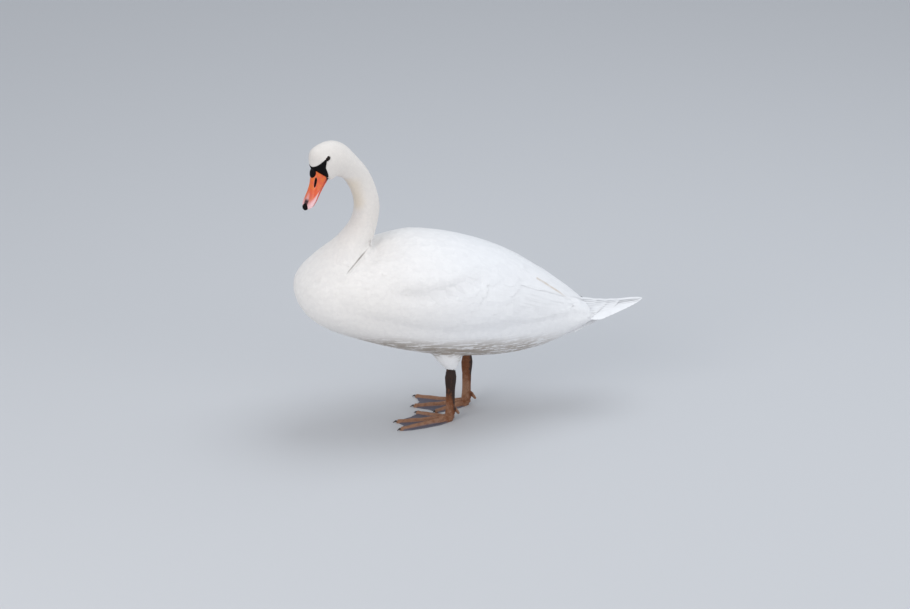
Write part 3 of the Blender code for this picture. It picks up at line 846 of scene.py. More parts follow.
def lying_tract(name, kind, mask_of, spacing_of, length_of, breadth, stiffness, stray, lift_share, root=0.68):
    """A tract of like feathers that lie along the body, from scattered roots."""
    roots = scattered(mask_of, spacing_of)
    roots = roots[bareness(roots) < -BARE_MARGIN]
    _, lies, out, levels, depth = read_skin(roots, "lie", "out", "level", "plume")
    turn = random_numbers.normal(0.0, stray, len(roots))[:, None]
    ways = flat_on(lies, out)
    ways = ways * np.cos(turn) + np.cross(unit(out), ways) * np.sin(turn)
    lengths = length_of(roots, levels) * random_numbers.uniform(0.88, 1.12, len(roots))
    line, outs = followed(roots, ways, lengths, kind, stiffness)
    lift = depth * lift_share * random_numbers.uniform(0.94, 1.06, len(roots))
    patches = read_unwrap(roots, "unwrap")[1]
    shown = clear_of_eyes(line[:, -1]) & clear_of_eyes(line[:, -2]) & clear_of_eyes(line[:, -3])
    shown &= np.sum(outs[:, 1:] * outs[:, :-1], axis=2).min(axis=1) > SHARPEST_BEND
    line, outs, lengths, lift, patches = (values[shown] for values in (line, outs, lengths, lift, patches))
    flat = np.zeros(len(line))
    feather_piece(name, kind, line, outs, lengths * breadth, lift, flat, patches, 0.018, root)


# Skin: the same markings and painted shade under the feathers, black and finely pebbled on the
# lores and lids.
skin_finish, tree, shader, place = new_finish("skin", 0.62, specular_ior_level=0.08)
marked_and_shaded = add_node(tree, "ShaderNodeGroup", node_tree=markings_and_shade, in_0=place)
bare = field_of(tree, "bare")
pebbles = add_node(tree, "ShaderNodeTexVoronoi", in_0=place, in_2=900.0)
deep_black, soft_black = (0.002, 0.002, 0.002, 1.0), (0.006, 0.005, 0.006, 1.0)
black = mixed_colour(tree, noise_of(tree, place, 0.006), deep_black, soft_black)
colour = mixed_colour(tree, eased(tree, bare, 0.35, 0.65), marked_and_shaded.outputs[0], black)
tree.links.new(colour, shader.inputs["Base Color"])
add_bump(tree, shader, times(tree, pebbles.outputs["Distance"], bare), 0.0004, 0.5)

LID_MARGIN = 0.0016  # the lids are bare this far round their opening
EYE_REACH = 0.02  # nothing further than this from an eye's middle belongs to it
bare_share = smooth_step(bareness(inside), -0.0014, 0.0010)
for centre, way in zip(EYES, eye_ways):
    offset = inside - np.array(centre)
    near_eye = smooth_step(oval_reach(offset, way), LID_OPENING + LID_MARGIN, LID_OPENING + 0.0010)
    bare_share = np.maximum(bare_share, near_eye * (np.linalg.norm(offset, axis=1) < EYE_REACH))
skin = new_piece("skin", skin_shape, skin_finish, bare=bare_share)
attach(skin, "root")
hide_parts(*FLESH)


# Where head, throat and neck end, on the stream of levels from 0 at the bill to 1 at the tail.
HEAD_LEVEL, THROAT_LEVEL, NECK_LEVEL = 0.21, 0.41, 0.59
THIGH_LEVEL = 0.172  # feathers rooted lower than this belong to the thighs


def on_thigh(at):
    return at[:, 2] < THIGH_LEVEL


def clear_of_eyes(at):
    """Outside the rims of the lids."""
    clear = np.ones(len(at), bool)
    for centre, way in zip(EYES, eye_ways):
        offset = at - np.array(centre)
        far = np.linalg.norm(offset, axis=1) > EYE_REACH
        clear &= far | (oval_reach(offset, way) > LID_OPENING + LID_MARGIN)
    return clear


# ---- Head feathers -----------------------------------------------------------------------------
# The smallest feathers, a velvet of soft vanes 4 to 10 mm long. They are rooted in the skin from the
# edge of the lores and lids back to the nape and throat.
FACE_LEVEL = 0.09
lying_tract(
    "feathers_face", "down", lambda at, level: (level < FACE_LEVEL) & clear_of_eyes(at),
    graded(0.0, 0.09, 0.00115, 0.0015), graded(0.0, 0.09, 0.0042, 0.0064), 0.62, 0.3, 0.10, 0.9, root=0.5,
)
lying_tract(
    "feathers_head", "down",
    lambda at, level: (level >= FACE_LEVEL) & (level < HEAD_LEVEL) & clear_of_eyes(at),
    graded(0.09, 0.2, 0.0016, 0.0020), graded(0.09, 0.2, 0.0060, 0.0095), 0.62, 0.3, 0.10, 0.9, root=0.5,
)

# ---- Neck feathers -----------------------------------------------------------------------------
# Short soft feathers rooted all round the neck, 10 mm long behind the head and 19 mm where the neck
# joins the breast.
lying_tract(
    "feathers_neck_upper", "small", lambda at, level: (level >= HEAD_LEVEL) & (level < THROAT_LEVEL),
    graded(0.2, 0.4, 0.0020, 0.0024), graded(0.2, 0.4, 0.0100, 0.0140), 0.54, 0.3, 0.10, 0.95,
)
lying_tract(
    "feathers_neck_lower", "small", lambda at, level: (level >= THROAT_LEVEL) & (level < NECK_LEVEL),
    graded(0.4, 0.6, 0.0024, 0.0030), graded(0.4, 0.6, 0.0140, 0.0190), 0.54, 0.3, 0.10, 0.95,
)

# ---- Breast and belly feathers -----------------------------------------------------------------
# Round soft contour feathers, close together, from 18 mm long on the upper breast to 33 mm on belly
# and flanks, and shorter ones of 15 mm on the thighs.
AXIS_FRONT = (-0.35, 0.37)  # y and z of the line inside the trunk from which the wings are measured
AXIS_FALL = -0.185
BREAST_END = (0.80, -0.12)  # level and y up to which the feathers are the breast's


def angle_down(at):
    """Angle of each place round the trunk in degrees, from the back line down."""
    middle = AXIS_FRONT[1] + (at[:, 1] - AXIS_FRONT[0]) * AXIS_FALL
    return np.degrees(np.arctan2(np.abs(at[:, 0]), at[:, 2] - middle))


def scapular_edge(at):
    """Above 0 on the scapulars, whose lower edge climbs towards the back."""
    return np.interp(at[:, 1], (-0.24, -0.10, 0.02, 0.08), (74.0, 66.0, 42.0, 24.0)) - angle_down(at)


def wing_zone(at):
    """Above 0 on the folded wings and scapulars, below 0 on breast, belly and flanks."""
    angle = angle_down(at)
    front = -0.262 + 0.0009 * np.maximum(angle - 20.0, 0.0)
    ways = (-0.24, -0.16, 0.0, 0.08, 0.14, 0.23, 0.28)
    lower = np.interp(at[:, 1], ways, (88.0, 100.0, 103.0, 98.0, 90.0, 84.0, 60.0))
    return np.minimum((lower - angle) / 400.0, at[:, 1] - front)


def below_wings(at, level):
    return (level >= NECK_LEVEL) & ~on_thigh(at) & (wing_zone(at) < 0.004)


def on_breast(at, level):
    return (level < BREAST_END[0]) & (at[:, 1] < BREAST_END[1])


lying_tract(
    "feathers_breast", "body", lambda at, level: below_wings(at, level) & on_breast(at, level),
    graded(0.6, 0.74, 0.0034, 0.0048), graded(0.6, 0.75, 0.0180, 0.0280), 0.46, 0.4, 0.08, 0.95,
)
lying_tract(
    "feathers_belly", "body",
    lambda at, level: below_wings(at, level) & ~on_breast(at, level) & (at[:, 1] < 0.27),
    even(0.0052), even(0.0330), 0.44, 0.4, 0.10, 0.95,
)
lying_tract(
    "feathers_thighs", "small", lambda at, level: on_thigh(at),
    even(0.0030), even(0.0150), 0.42, 0.5, 0.10, 0.9,
)

# ---- Wings -------------------------------------------------------------------------------------
# Each folded wing: small coverts at the shoulder, longer ones behind, then the long flight feathers
# in even rows, the tertials over them and the scapulars over the tertials' roots.
skin_tree = BVHTree.FromPolygons(inside.tolist(), skin_faces.tolist())


def flank_spots(side, y, angle):
    """Skin spots at distances y along the body and angles in degrees down from the back line."""
    spots = np.empty(y.shape + (3,))
    for number in np.ndindex(y.shape):
        turn = math.radians(angle[number])
        middle = Vector((0.0, y[number], AXIS_FRONT[1] + (y[number] - AXIS_FRONT[0]) * AXIS_FALL))
        way = Vector((side * math.sin(turn), 0.0, math.cos(turn)))
        spot = skin_tree.ray_cast(middle, way)[0]
        if spot is None:
            spot = skin_tree.find_nearest(middle + way * 0.1)[0]
        spots[number] = spot
    return spots


def feather_row(name, kind, roots, tips, count, width, layer, tilt, curve=0.0):
    """A row of long feathers on both wings. roots and tips are (y, angle) at the row's top and bottom,
    with a point between them. The first feather is the topmost. layer is the row's height over the
    depth of the coat."""
    shares = np.array(FEATHER_ROWS[kind][0])
    number = (np.arange(count) + 0.5) / count
    ends = []
    for points in (roots, tips):
        points = np.array(points, float)
        places = np.linspace(0.0, 1.0, len(points))
        ends.append([np.interp(number, places, points[:, axis]) for axis in (0, 1)])
    (root_y, root_angle), (tip_y, tip_angle) = ends
    lines, patches = [], []
    jitter = np.random.default_rng(count).normal(0.0, 1.0, (4, count))
    for side in (1.0, -1.0):
        y = root_y[:, None] + (tip_y + 0.0025 * jitter[0] - root_y)[:, None] * shares
        bend = np.sin(np.pi * shares)[None] * curve
        angle = root_angle[:, None] + (tip_angle + 0.8 * jitter[1] - root_angle)[:, None] * shares + bend
        spots = flank_spots(side, y, angle)
        lines.append(spots)
        patches.append(read_unwrap(spots[:, 0], "unwrap")[1])
    line = np.concatenate(lines)
    _, outs, depth = read_skin(line.reshape(-1, 3), "out", "plume")
    outs = unit(outs).reshape(line.shape)
    widths = np.tile(width * (1.0 + 0.03 * jitter[2]), 2)
    settle = 1.0 - 0.5 * smooth_step(line[:, :, 1], 0.235, 0.285)
    lifts = depth.reshape(line.shape[:2]) * settle + layer - 0.0008 * (1.0 - shares)
    leans = np.repeat([-tilt, tilt], count)
    feather_piece(name, kind, line, outs, widths, lifts, leans, np.concatenate(patches), 0.005, spring=0.6)


feather_row(
    "feathers_primaries", "flight", [(0.06, 50.0), (0.06, 84.0)], [(0.275, 30.0), (0.235, 74.0)],
    6, 0.044, -0.0012, 0.0009,
)
feather_row(
    "feathers_secondaries", "flight", [(0.00, 36.0), (-0.04, 62.0), (-0.08, 92.0)],
    [(0.268, 46.0), (0.215, 76.0), (0.06, 101.0)], 13, 0.050, -0.0008, 0.0009, curve=4.0,
)
feather_row(
    "feathers_greater_coverts", "wing covert", [(-0.05, 30.0), (-0.10, 60.0), (-0.13, 94.0)],
    [(0.115, 42.0), (0.075, 70.0), (-0.015, 102.0)], 15, 0.044, -0.0006, 0.0006, curve=3.0,
)
feather_row(
    "feathers_median_coverts", "wing covert", [(-0.12, 34.0), (-0.15, 66.0), (-0.18, 94.0)],
    [(0.020, 48.0), (-0.02, 74.0), (-0.085, 103.0)], 17, 0.036, 0.0, 0.0007, curve=2.0,
)
feather_row(
    "feathers_tertials", "flight", [(-0.04, 2.0), (-0.03, 34.0)],
    [(0.290, 4.0), (0.275, 22.0), (0.235, 38.0), (0.170, 40.0)], 9, 0.052, -0.0003, 0.0004,
)


def covert_end(at):
    """How far back the small coverts reach, less far towards the lower edge of the wing."""
    return np.interp(angle_down(at), (30.0, 60.0, 100.0), (0.0, -0.025, -0.095))


def on_shoulder(at, level):
    return (wing_zone(at) > -0.004) & (at[:, 1] < covert_end(at)) & ~on_thigh(at) & (level > NECK_LEVEL)


def on_scapulars(at, level):
    return (wing_zone(at) > 0.0) & (at[:, 1] > -0.10) & (at[:, 1] < 0.064) & (scapular_edge(at) > 0.0)


lying_tract(
    "feathers_lesser_coverts", "body", on_shoulder,
    graded(-0.26, -0.10, 0.0044, 0.0072, axis=1), graded(-0.26, -0.10, 0.0240, 0.0440, axis=1),
    0.50, 0.5, 0.05, 1.0,
)
lying_tract(
    "feathers_scapulars", "covert", on_scapulars,
    graded(-0.10, 0.05, 0.0090, 0.0120, axis=1), graded(-0.10, 0.05, 0.0500, 0.0740, axis=1),
    0.50, 0.7, 0.04, 1.0,
)


# ---- Tail --------------------------------------------------------------------------------------
# Twenty-two tail feathers, the middle pair on top and longest, each pair outside it lower and
# shorter, with long soft coverts over and under their roots.
TAIL_FEATHERS = 22
TAIL_TIP_LEVEL = 0.2605
tail_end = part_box("tail")[1][1]
share = np.linspace(-1.0, 1.0, TAIL_FEATHERS)
outer = np.abs(share)
tail_roots = np.stack([0.024 * share, 0.258 + 0.012 * outer, 0.2560 - 0.014 * outer ** 1.6], 1)
tail_ends = tail_end + 0.0060 - 0.105 * outer ** 1.4
tail_tips = np.stack([0.044 * share, tail_ends, TAIL_TIP_LEVEL - 0.0165 * outer ** 1.2], 1)


def tail_fan(name, kind, roots, tips, width, sag=0.0, spread=0.0):
    """One feather for each share across the tail, straight from its root to its tip, the middle ones
    on top."""
    count = len(roots)
    share = np.linspace(-1.0, 1.0, count)
    along = np.array(FEATHER_ROWS[kind][0])
    line = roots[:, None] + (tips - roots)[:, None] * along[None, :, None]
    line[:, :, 2] -= sag * np.sin(np.pi * along)[None]
    line[:, :, 0] += spread * share[:, None] * np.sin(np.pi * along)[None]
    slope = np.gradient(tips[:, 2], tips[:, 0])
    out = unit(np.stack([-0.9 * slope, 0.0 * share, np.ones(count)], 1))
    out = np.repeat(out[:, None], len(along), 1)
    feather_piece(
        name, kind, line, out, np.full(count, width), np.zeros(count), np.zeros(count),
        read_unwrap(roots, "unwrap")[1], 0.02, loose=True,
    )


tail_fan("feathers_tail", "flight", tail_roots, tail_tips, 0.027, 0.0015, 0.010)
COVERT_ROWS = (  # of the coverts round the tail: y of the roots and of the tips, and height at both
    ("feathers_upper_coverts_long", 17, 0.255, 0.375, 0.2575, 0.2612, 0.030, 0.035),
    ("feathers_upper_coverts_middle", 15, 0.235, 0.347, 0.2680, 0.2622, 0.034, 0.036),
    ("feathers_upper_coverts_short", 13, 0.215, 0.320, 0.2800, 0.2648, 0.036, 0.038),
    ("feathers_under_coverts_long", 15, 0.245, 0.362, 0.2200, 0.2470, 0.028, 0.030),
    ("feathers_under_coverts_short", 13, 0.225, 0.330, 0.2080, 0.2370, 0.030, 0.030),
)
for name, count, root_y, tip_y, root_z, tip_z, root_reach, tip_reach in COVERT_ROWS:
    share = np.linspace(-1.0, 1.0, count)
    outer = np.abs(share)
    fall = 0.017 if "upper" in name else 0.010
    roots = np.stack([root_reach * share, root_y + 0.0 * share, root_z - fall * outer ** 2], 1)
    tips = np.stack([tip_reach * share, tip_y - 0.045 * outer ** 1.6, tip_z - fall * outer ** 1.6], 1)
    tail_fan(name, "wing covert", roots, tips, 0.026, 0.0, 0.004)
lying_tract(
    "feathers_rump", "covert",
    lambda at, level: (at[:, 1] > 0.225) & (at[:, 1] < 0.300) & (face_ways[:, 1] < 0.35),
    even(0.0044), even(0.0360), 0.42, 0.60, 0.03, 1.0,
)


# ---- Eyes --------------------------------------------------------------------------------------
# Each eye is a ball with a slightly bulging clear front, almost black, with a dark brown iris. It
# sits in its socket under the lids.
IRIS_EDGE = math.radians(33.0)
PUPIL_EDGE = math.radians(15.0)

eye_finish, tree, shader, place = new_finish(
    "dark_eye", 0.12, coat_weight=0.06, coat_roughness=0.03, specular_ior_level=0.12
)
ring = field_of(tree, "ring")
fibres = noise_of(tree, place, 0.0008)
iris = mixed_colour(tree, fibres, (0.010, 0.005, 0.003, 1.0), (0.030, 0.014, 0.008, 1.0))
beyond_pupil = eased(tree, ring, PUPIL_EDGE - 0.03, PUPIL_EDGE + 0.03)
beyond_iris = eased(tree, ring, IRIS_EDGE - 0.05, IRIS_EDGE + 0.05)
colour = mixed_colour(tree, beyond_pupil, (0.003, 0.003, 0.003, 1.0), iris)
colour = mixed_colour(tree, beyond_iris, colour, (0.006, 0.005, 0.005, 1.0))
tree.links.new(colour, shader.inputs["Base Color"])
for node, centre, way in zip(("eye_left", "eye_right"), EYES, eye_ways):
    ball = bmesh.new()
    bmesh.ops.create_uvsphere(ball, u_segments=40, v_segments=28, radius=EYE_SIZE)
    rings = []
    for vert in ball.verts:
        slant = math.atan2(math.hypot(vert.co.x, vert.co.y), vert.co.z)
        rings.append(slant)
        bulge = 0.0005 * float(smooth_step(slant, math.radians(42.0), math.radians(16.0)))
        vert.co += vert.co.normalized() * bulge
    facing = way.to_track_quat("Z", "Y").to_matrix().to_4x4()
    ball.transform(Matrix.Translation(centre - way * EYE_SINK) @ facing)
    eye = new_piece(node + "_ball", ball, eye_finish, ring=rings)
    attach(eye, "root")
    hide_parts(node)


# ---- Bill --------------------------------------------------------------------------------------
# A soft leathery bill over bone: an orange upper half with a rounded ridge, a long slit nostril on
# each side and pale pink edges towards the tip, partly painted highlight, a painted highlight along
# the ridge, painted shade in the nostrils, black over its base, and a narrow lower half. It is set
# into the face at the gape.
BILL_PITCH = math.radians(-54.0)
BILL_EDGE = 0.0012  # depth of the cutting edge
BILL_GAP = 0.0003  # between the halves
NOSTRIL = (0.0232, 0.0138, 0.69, 0.185)  # middle and half length along, middle and half width round
ORANGE = (0.78, 0.165, 0.028, 1.0)
RED_ORANGE = (0.76, 0.105, 0.045, 1.0)
ROSE = (0.66, 0.155, 0.125, 1.0)
PALE_PINK_AND_HIGHLIGHT = (0.86, 0.54, 0.56, 1.0)
HORN_BLACK = (0.004, 0.003, 0.0035, 1.0)
MAROON = (0.050, 0.010, 0.014, 1.0)

bill_turn = Matrix.Rotation(math.pi + HEAD_TURN, 3, "Z") @ Matrix.Rotation(BILL_PITCH, 3, "X")
bill_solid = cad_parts["bill_upper"].data
bill_corners = np.array([bill_turn.inverted() @ vert.co for vert in bill_solid.vertices])
bill_low, bill_high = bill_corners.min(axis=0), bill_corners.max(axis=0)
gape = bill_turn @ Vector(((bill_low[0] + bill_high[0]) / 2.0, bill_low[1], bill_low[2] - BILL_GAP))
bill_place = Matrix.Translation(gape) @ bill_turn.to_4x4()
BILL_LENGTH = bill_high[1] - bill_low[1]
BILL_HALF_WIDTH = 0.0170


def culmen(share):
    """Height of the ridge over the cutting edge."""
    return 0.0068 + 0.0322 * (1.0 - share) ** 1.9


def bill_width(share):
    """Half width: almost parallel, wider towards the round tip."""
    waist = 0.05 * math.sin(math.pi * min(1.0, share / 0.7))
    spread = 1.0 - waist + 0.25 * float(smooth_step(share, 0.25, 0.88))
    return BILL_HALF_WIDTH * spread * math.sqrt(max(0.0, 1.0 - share ** 12))


def long_ball(rings, sides):
    """A ball along Y, and for each corner how far along and round from the top it is, and whether it
    is a pole."""
    ball = bmesh.new()
    bmesh.ops.create_uvsphere(ball, u_segments=sides, v_segments=rings, radius=1.0)
    spots = []
    for vert in ball.verts:
        ring = math.acos(max(-1.0, min(1.0, vert.co.z))) / math.pi * rings
        pole = min(ring, rings - ring) < 0.5
        share = min(1.0, max(0.0, (ring - 1.0) / (rings - 2.0)))
        spots.append((share, math.atan2(vert.co.x, vert.co.y), pole))
    return ball, spots


def horn_piece(name, node, slot, shape, finish, **fields):
    """A piece of the bill from its shape in the bill's own frame, in place of the frame's solid."""
    shape.transform(bill_place)
    bmesh.ops.recalc_face_normals(shape, faces=shape.faces)
    piece = new_piece(name, shape, finish, **fields)
    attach(piece, "root")
    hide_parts(node)


# Leathery horn: small pits and wrinkles that both halves, the nail and the claws have.
leather = bpy.data.node_groups.new("horn_leather", "ShaderNodeTree")
for label, direction, kind in (
    ("Place", "INPUT", "NodeSocketVector"), ("Size", "INPUT", "NodeSocketFloat"),
    ("Height", "OUTPUT", "NodeSocketFloat"),
):
    leather.interface.new_socket(name=label, in_out=direction, socket_type=kind)
given = leather.nodes.new("NodeGroupInput")
pits = add_node(leather, "ShaderNodeTexVoronoi", in_0=given.outputs[0])
leather.links.new(math_node(leather, "DIVIDE", 1.0, given.outputs[1]), pits.inputs["Scale"])
wrinkles = add_node(leather, "ShaderNodeTexNoise", in_0=given.outputs[0], in_3=4.0)
leather.links.new(math_node(leather, "DIVIDE", 0.5, given.outputs[1]), wrinkles.inputs["Scale"])
height = plus(leather, times(leather, pits.outputs["Distance"], 0.5), wrinkles.outputs["Fac"])
leather.links.new(height, leather.nodes.new("NodeGroupOutput").inputs[0])


def add_leather(tree, shader, place, size, distance, strength):
    pitted = add_node(tree, "ShaderNodeGroup", node_tree=leather, in_0=place, in_1=size)
    add_bump(tree, shader, pitted.outputs[0], distance, strength)


upper_finish, tree, shader, place = new_finish(
    "orange_bill", 0.38, coat_roughness=0.25, specular_ior_level=0.35
)
along, round_top, rim, slit = (field_of(tree, name) for name in ("along", "round", "rim", "slit"))
mottle = noise_of(tree, place, 0.010, detail=4.0)
flecks = noise_of(tree, place, 0.0016, detail=3.0)
colour = mixed_colour(tree, eased(tree, mottle, 0.40, 0.66), ORANGE, RED_ORANGE)
red_end = eased(tree, plus(tree, along, times(tree, mottle, 0.018)), 0.056, 0.084)
colour = mixed_colour(tree, times(tree, red_end, 0.9), colour, ROSE)
# Pale pink edges, partly the bill's own colour and partly painted highlight, wider towards the tip.
edge_width = plus(tree, times(tree, eased(tree, along, 0.030, 0.078), 0.0150), 0.0010)
pale_rim_and_highlight = eased(tree, math_node(tree, "DIVIDE", rim, edge_width), 1.0, 0.45)
pale_rim_and_highlight = times(tree, pale_rim_and_highlight, eased(tree, along, 0.008, 0.060))
colour = mixed_colour(tree, pale_rim_and_highlight, colour, PALE_PINK_AND_HIGHLIGHT)
tip = times(tree, eased(tree, along, 0.058, 0.080), 0.65)
colour = mixed_colour(tree, tip, colour, PALE_PINK_AND_HIGHLIGHT)
# Painted highlight: a pale line along the ridge towards the tip.
ridge_highlight = times(tree, eased(tree, round_top, 0.36, 0.08), eased(tree, along, 0.042, 0.066))
colour = mixed_colour(tree, times(tree, ridge_highlight, 0.60), colour, PALE_PINK_AND_HIGHLIGHT)
lip = times(tree, eased(tree, slit, 0.0, 0.12), eased(tree, slit, 0.40, 0.20))
colour = mixed_colour(tree, times(tree, lip, 0.15), colour, PALE_PINK_AND_HIGHLIGHT)
colour = mixed_colour(tree, times(tree, eased(tree, flecks, 0.62, 0.74), 0.25), colour, MAROON)
# Painted shade: the nostril's slit is almost black, for the shade inside its opening.
colour = mixed_colour(tree, eased(tree, slit, 0.16, 0.34), colour, (0.006, 0.001, 0.001, 1.0))
nail_wedge = times(tree, eased(tree, round_top, 0.46, 0.24), eased(tree, along, 0.062, 0.070))
colour = mixed_colour(tree, nail_wedge, colour, MAROON)
saddle = plus(tree, times(tree, round_top, 0.0330), along)
saddle = plus(tree, saddle, times(tree, flecks, 0.0010))
colour = mixed_colour(tree, eased(tree, saddle, 0.0187, 0.0177), colour, HORN_BLACK)
corner = plus(tree, rim, along)
colour = mixed_colour(tree, eased(tree, corner, 0.0045, 0.0025), colour, HORN_BLACK)
tree.links.new(colour, shader.inputs["Base Color"])
in_slit = eased(tree, slit, 0.10, 0.30)
gloss = plus(tree, times(tree, flecks, 0.20), 0.28)
tree.links.new(math_node(tree, "MAXIMUM", gloss, in_slit), shader.inputs["Roughness"])
coat = times(tree, math_node(tree, "SUBTRACT", 1.0, in_slit), 0.12)
tree.links.new(coat, shader.inputs["Coat Weight"])
add_leather(tree, shader, place, 0.0011, 0.0003, 0.5)

upper, spots = long_ball(104, 72)
fields = {"along": [], "round": [], "rim": [], "slit": []}
for vert, (share, turn, pole) in zip(upper.verts, spots):
    share = math.sin(math.pi / 2.0 * share) ** 0.9
    width = bill_width(share)
    top = culmen(share) * math.sqrt(max(0.0, 1.0 - share ** 12))
    rise = math.cos(turn)
    reach = 0.0 if pole else width * math.sin(turn)
    height = top * rise if rise > 0.0 else BILL_EDGE * rise
    forward = BILL_LENGTH * share
    from_slit = math.hypot((forward - NOSTRIL[0]) / NOSTRIL[1], (abs(turn) - NOSTRIL[2]) / NOSTRIL[3])
    dip = float(smooth_step(from_slit, 1.10, 0.30))
    lip_rise = math.exp(-((from_slit - 1.35) / 0.35) ** 2)
    press = 1.0 - (0.20 * dip - 0.014 * lip_rise) * (1.0 if rise > 0.0 else 0.0)
    dish = 0.0007 * math.exp(-((abs(turn) - 1.15) / 0.18) ** 2) * float(smooth_step(share, 0.45, 0.85))
    bead = 0.0005 * math.exp(-((abs(turn) - 1.48) / 0.10) ** 2)
    reach = reach * press + math.copysign(bead, turn) * (not pole)
    height = (0.0 if pole else height * press - dish) + BILL_EDGE + BILL_GAP
    vert.co = (reach, forward, height)
    fields["along"].append(forward)
    fields["round"].append(abs(turn))
    fields["rim"].append(max(0.0, math.hypot(top, width) * (math.pi / 2.0 - abs(turn)) / 1.57))
    fields["slit"].append(dip)
horn_piece("bill_upper_skin", "bill_upper", "orange_bill", upper, upper_finish, **fields)

lower_finish, tree, shader, place = new_finish("bill_underside", 0.42, coat_weight=0.08, coat_roughness=0.3)
along = field_of(tree, "along")
mottle = noise_of(tree, place, 0.006)
reddening = plus(tree, along, times(tree, mottle, 0.02))
colour = mixed_colour(tree, eased(tree, reddening, 0.010, 0.026), HORN_BLACK, RED_ORANGE)
colour = mixed_colour(tree, eased(tree, along, 0.050, 0.078), colour, ROSE)
tree.links.new(colour, shader.inputs["Base Color"])
add_leather(tree, shader, place, 0.0011, 0.0003, 0.5)

lower, spots = long_ball(64, 48)
forwards = []
for vert, (share, turn, pole) in zip(lower.verts, spots):
    share = math.sin(math.pi / 2.0 * share)
    end = math.sqrt(max(0.0, 1.0 - share ** 12))
    width = bill_width(share * 0.999) * 0.90
    depth = (0.0100 + (0.0045 - 0.0100) * share) * end
    fall = -math.cos(turn)
    groove = 0.0016 * math.exp(-(math.sin(turn) / 0.28) ** 2) * (1.0 - share) if fall > 0.0 else 0.0
    height = 0.0 if pole else (-(depth - groove) * fall if fall > 0.0 else -BILL_EDGE * fall)
    forward = BILL_LENGTH * share * 0.955
    vert.co = (0.0 if pole else width * math.sin(turn), forward, height - BILL_EDGE - BILL_GAP)
    forwards.append(forward)
horn_piece("bill_lower_skin", "bill_lower", "orange_bill", lower, lower_finish, along=forwards)

# The nail is a hard black shield over the tip, hooked a little down, and the knob a low black
# swelling between bill and forehead.
horn_finish, tree, shader, place = new_finish("black_horn", 0.55, specular_ior_level=0.07)
worn = eased(tree, noise_of(tree, place, 0.003), 0.45, 0.75)
colour = mixed_colour(tree, worn, HORN_BLACK, (0.009, 0.006, 0.006, 1.0))
tree.links.new(colour, shader.inputs["Base Color"])
add_leather(tree, shader, place, 0.0012, 0.0003, 0.6)
nail = bmesh.new()
bmesh.ops.create_uvsphere(nail, u_segments=40, v_segments=28, radius=1.0)
for vert in nail.verts:
    taper = 1.0 - 0.30 * float(smooth_step(vert.co.y, 0.2, -1.0))
    hook = 0.0012 * float(smooth_step(vert.co.y, 0.3, 1.0))
    x, y, z = vert.co
    vert.co = (0.0100 * x * taper, BILL_LENGTH * 0.938 + 0.0094 * y, 0.0040 + 0.0056 * z - hook)
horn_piece("bill_nail_horn", "bill_nail", "black_horn", nail, horn_finish)
knob = bmesh.new()
bmesh.ops.create_uvsphere(knob, u_segments=48, v_segments=32, radius=1.0)
for vert in knob.verts:
    x, y, z = vert.co
    vert.co = (0.0102 * x, 0.0040 + 0.0140 * y, 0.0312 - 0.0034 * y + 0.0076 * z)
horn_piece("bill_knob_skin", "bill_knob", "black_horn", knob, horn_finish)


# ---- Legs --------------------------------------------------------------------------------------
# Bare scaly legs and webbed feet, one skin for each: scutes in rows down the front of the shank and
# along the toes, small round scales at the sides, and thin wrinkled webs between the toes. Dark
# claws are set into the ends of the toes. Painted light and shade make each leg darker high up
# under the body and at the back of the shank, lighter over the toes, and the far leg paler.
LEG_GRAIN = 0.0011
SCUTE_LENGTH = 0.0036
CLAW_SHOWN = 0.60  # share of a claw that stands out of its toe
CLAW_ROOTED = 0.0012  # how deep it is set into the toe
LEG_BROWN = (0.190, 0.062, 0.020, 1.0)
LEG_TAN = (0.33, 0.175, 0.105, 1.0)
LEG_SHADED = (0.030, 0.014, 0.009, 1.0)
WEB_GREY = (0.135, 0.138, 0.185, 1.0)

leg_finish, tree, shader, place = new_finish(
    "leg_skin", 0.50, coat_weight=0.05, coat_roughness=0.25, specular_ior_level=0.28
)
web, run, shade, ahead_side = (field_of(tree, name) for name in ("web", "run", "shade", "front"))
mottle = noise_of(tree, place, 0.009, detail=4.0)
scales = add_node(tree, "ShaderNodeTexVoronoi", feature="DISTANCE_TO_EDGE", in_0=place, in_2=430.0)
scale_edge = eased(tree, scales.outputs["Distance"], 0.0, 0.16)
turns = times(tree, run, 1.0 / SCUTE_LENGTH)
scute = math_node(tree, "SUBTRACT", turns, math_node(tree, "FLOOR", turns))
scute = times(tree, eased(tree, scute, 0.0, 0.16), eased(tree, scute, 1.0, 0.84))
relief = mixed_colour(tree, ahead_side, scale_edge, scute)
web_lines = noise_of(tree, place, 0.0022, stretch=(1.0, 0.35, 1.0), detail=4.0)
relief = mixed_colour(tree, web, relief, times(tree, web_lines, 0.7))
# Painted light and shade from each leg's shade field, with mottling over it.
lit_with_mottle = plus(tree, shade, times(tree, math_node(tree, "SUBTRACT", mottle, 0.5), 0.9))
colour = mixed_colour(tree, eased(tree, lit_with_mottle, 0.10, 0.52), LEG_SHADED, LEG_BROWN)
colour = mixed_colour(tree, eased(tree, lit_with_mottle, 0.50, 1.02), colour, LEG_TAN)
colour = mixed_colour(tree, times(tree, web, 0.95), colour, WEB_GREY)
cracks = mixed_colour(tree, relief, (0.52, 0.48, 0.46, 1.0), (1.0, 1.0, 1.0, 1.0))
cracked = mixed_colour(tree, 0.75, colour, cracks, "MULTIPLY")
tree.links.new(cracked, shader.inputs["Base Color"])
add_bump(tree, shader, relief, 0.0006, 0.55)

claw_finish, tree, shader, place = new_finish("claw_horn", 0.34, coat_weight=0.10, coat_roughness=0.2)
cloud = noise_of(tree, place, 0.0025, detail=4.0)
colour = mixed_colour(tree, cloud, (0.012, 0.009, 0.008, 1.0), (0.060, 0.042, 0.032, 1.0))
tree.links.new(colour, shader.inputs["Base Color"])
add_leather(tree, shader, place, 0.0010, 0.0002, 0.4)

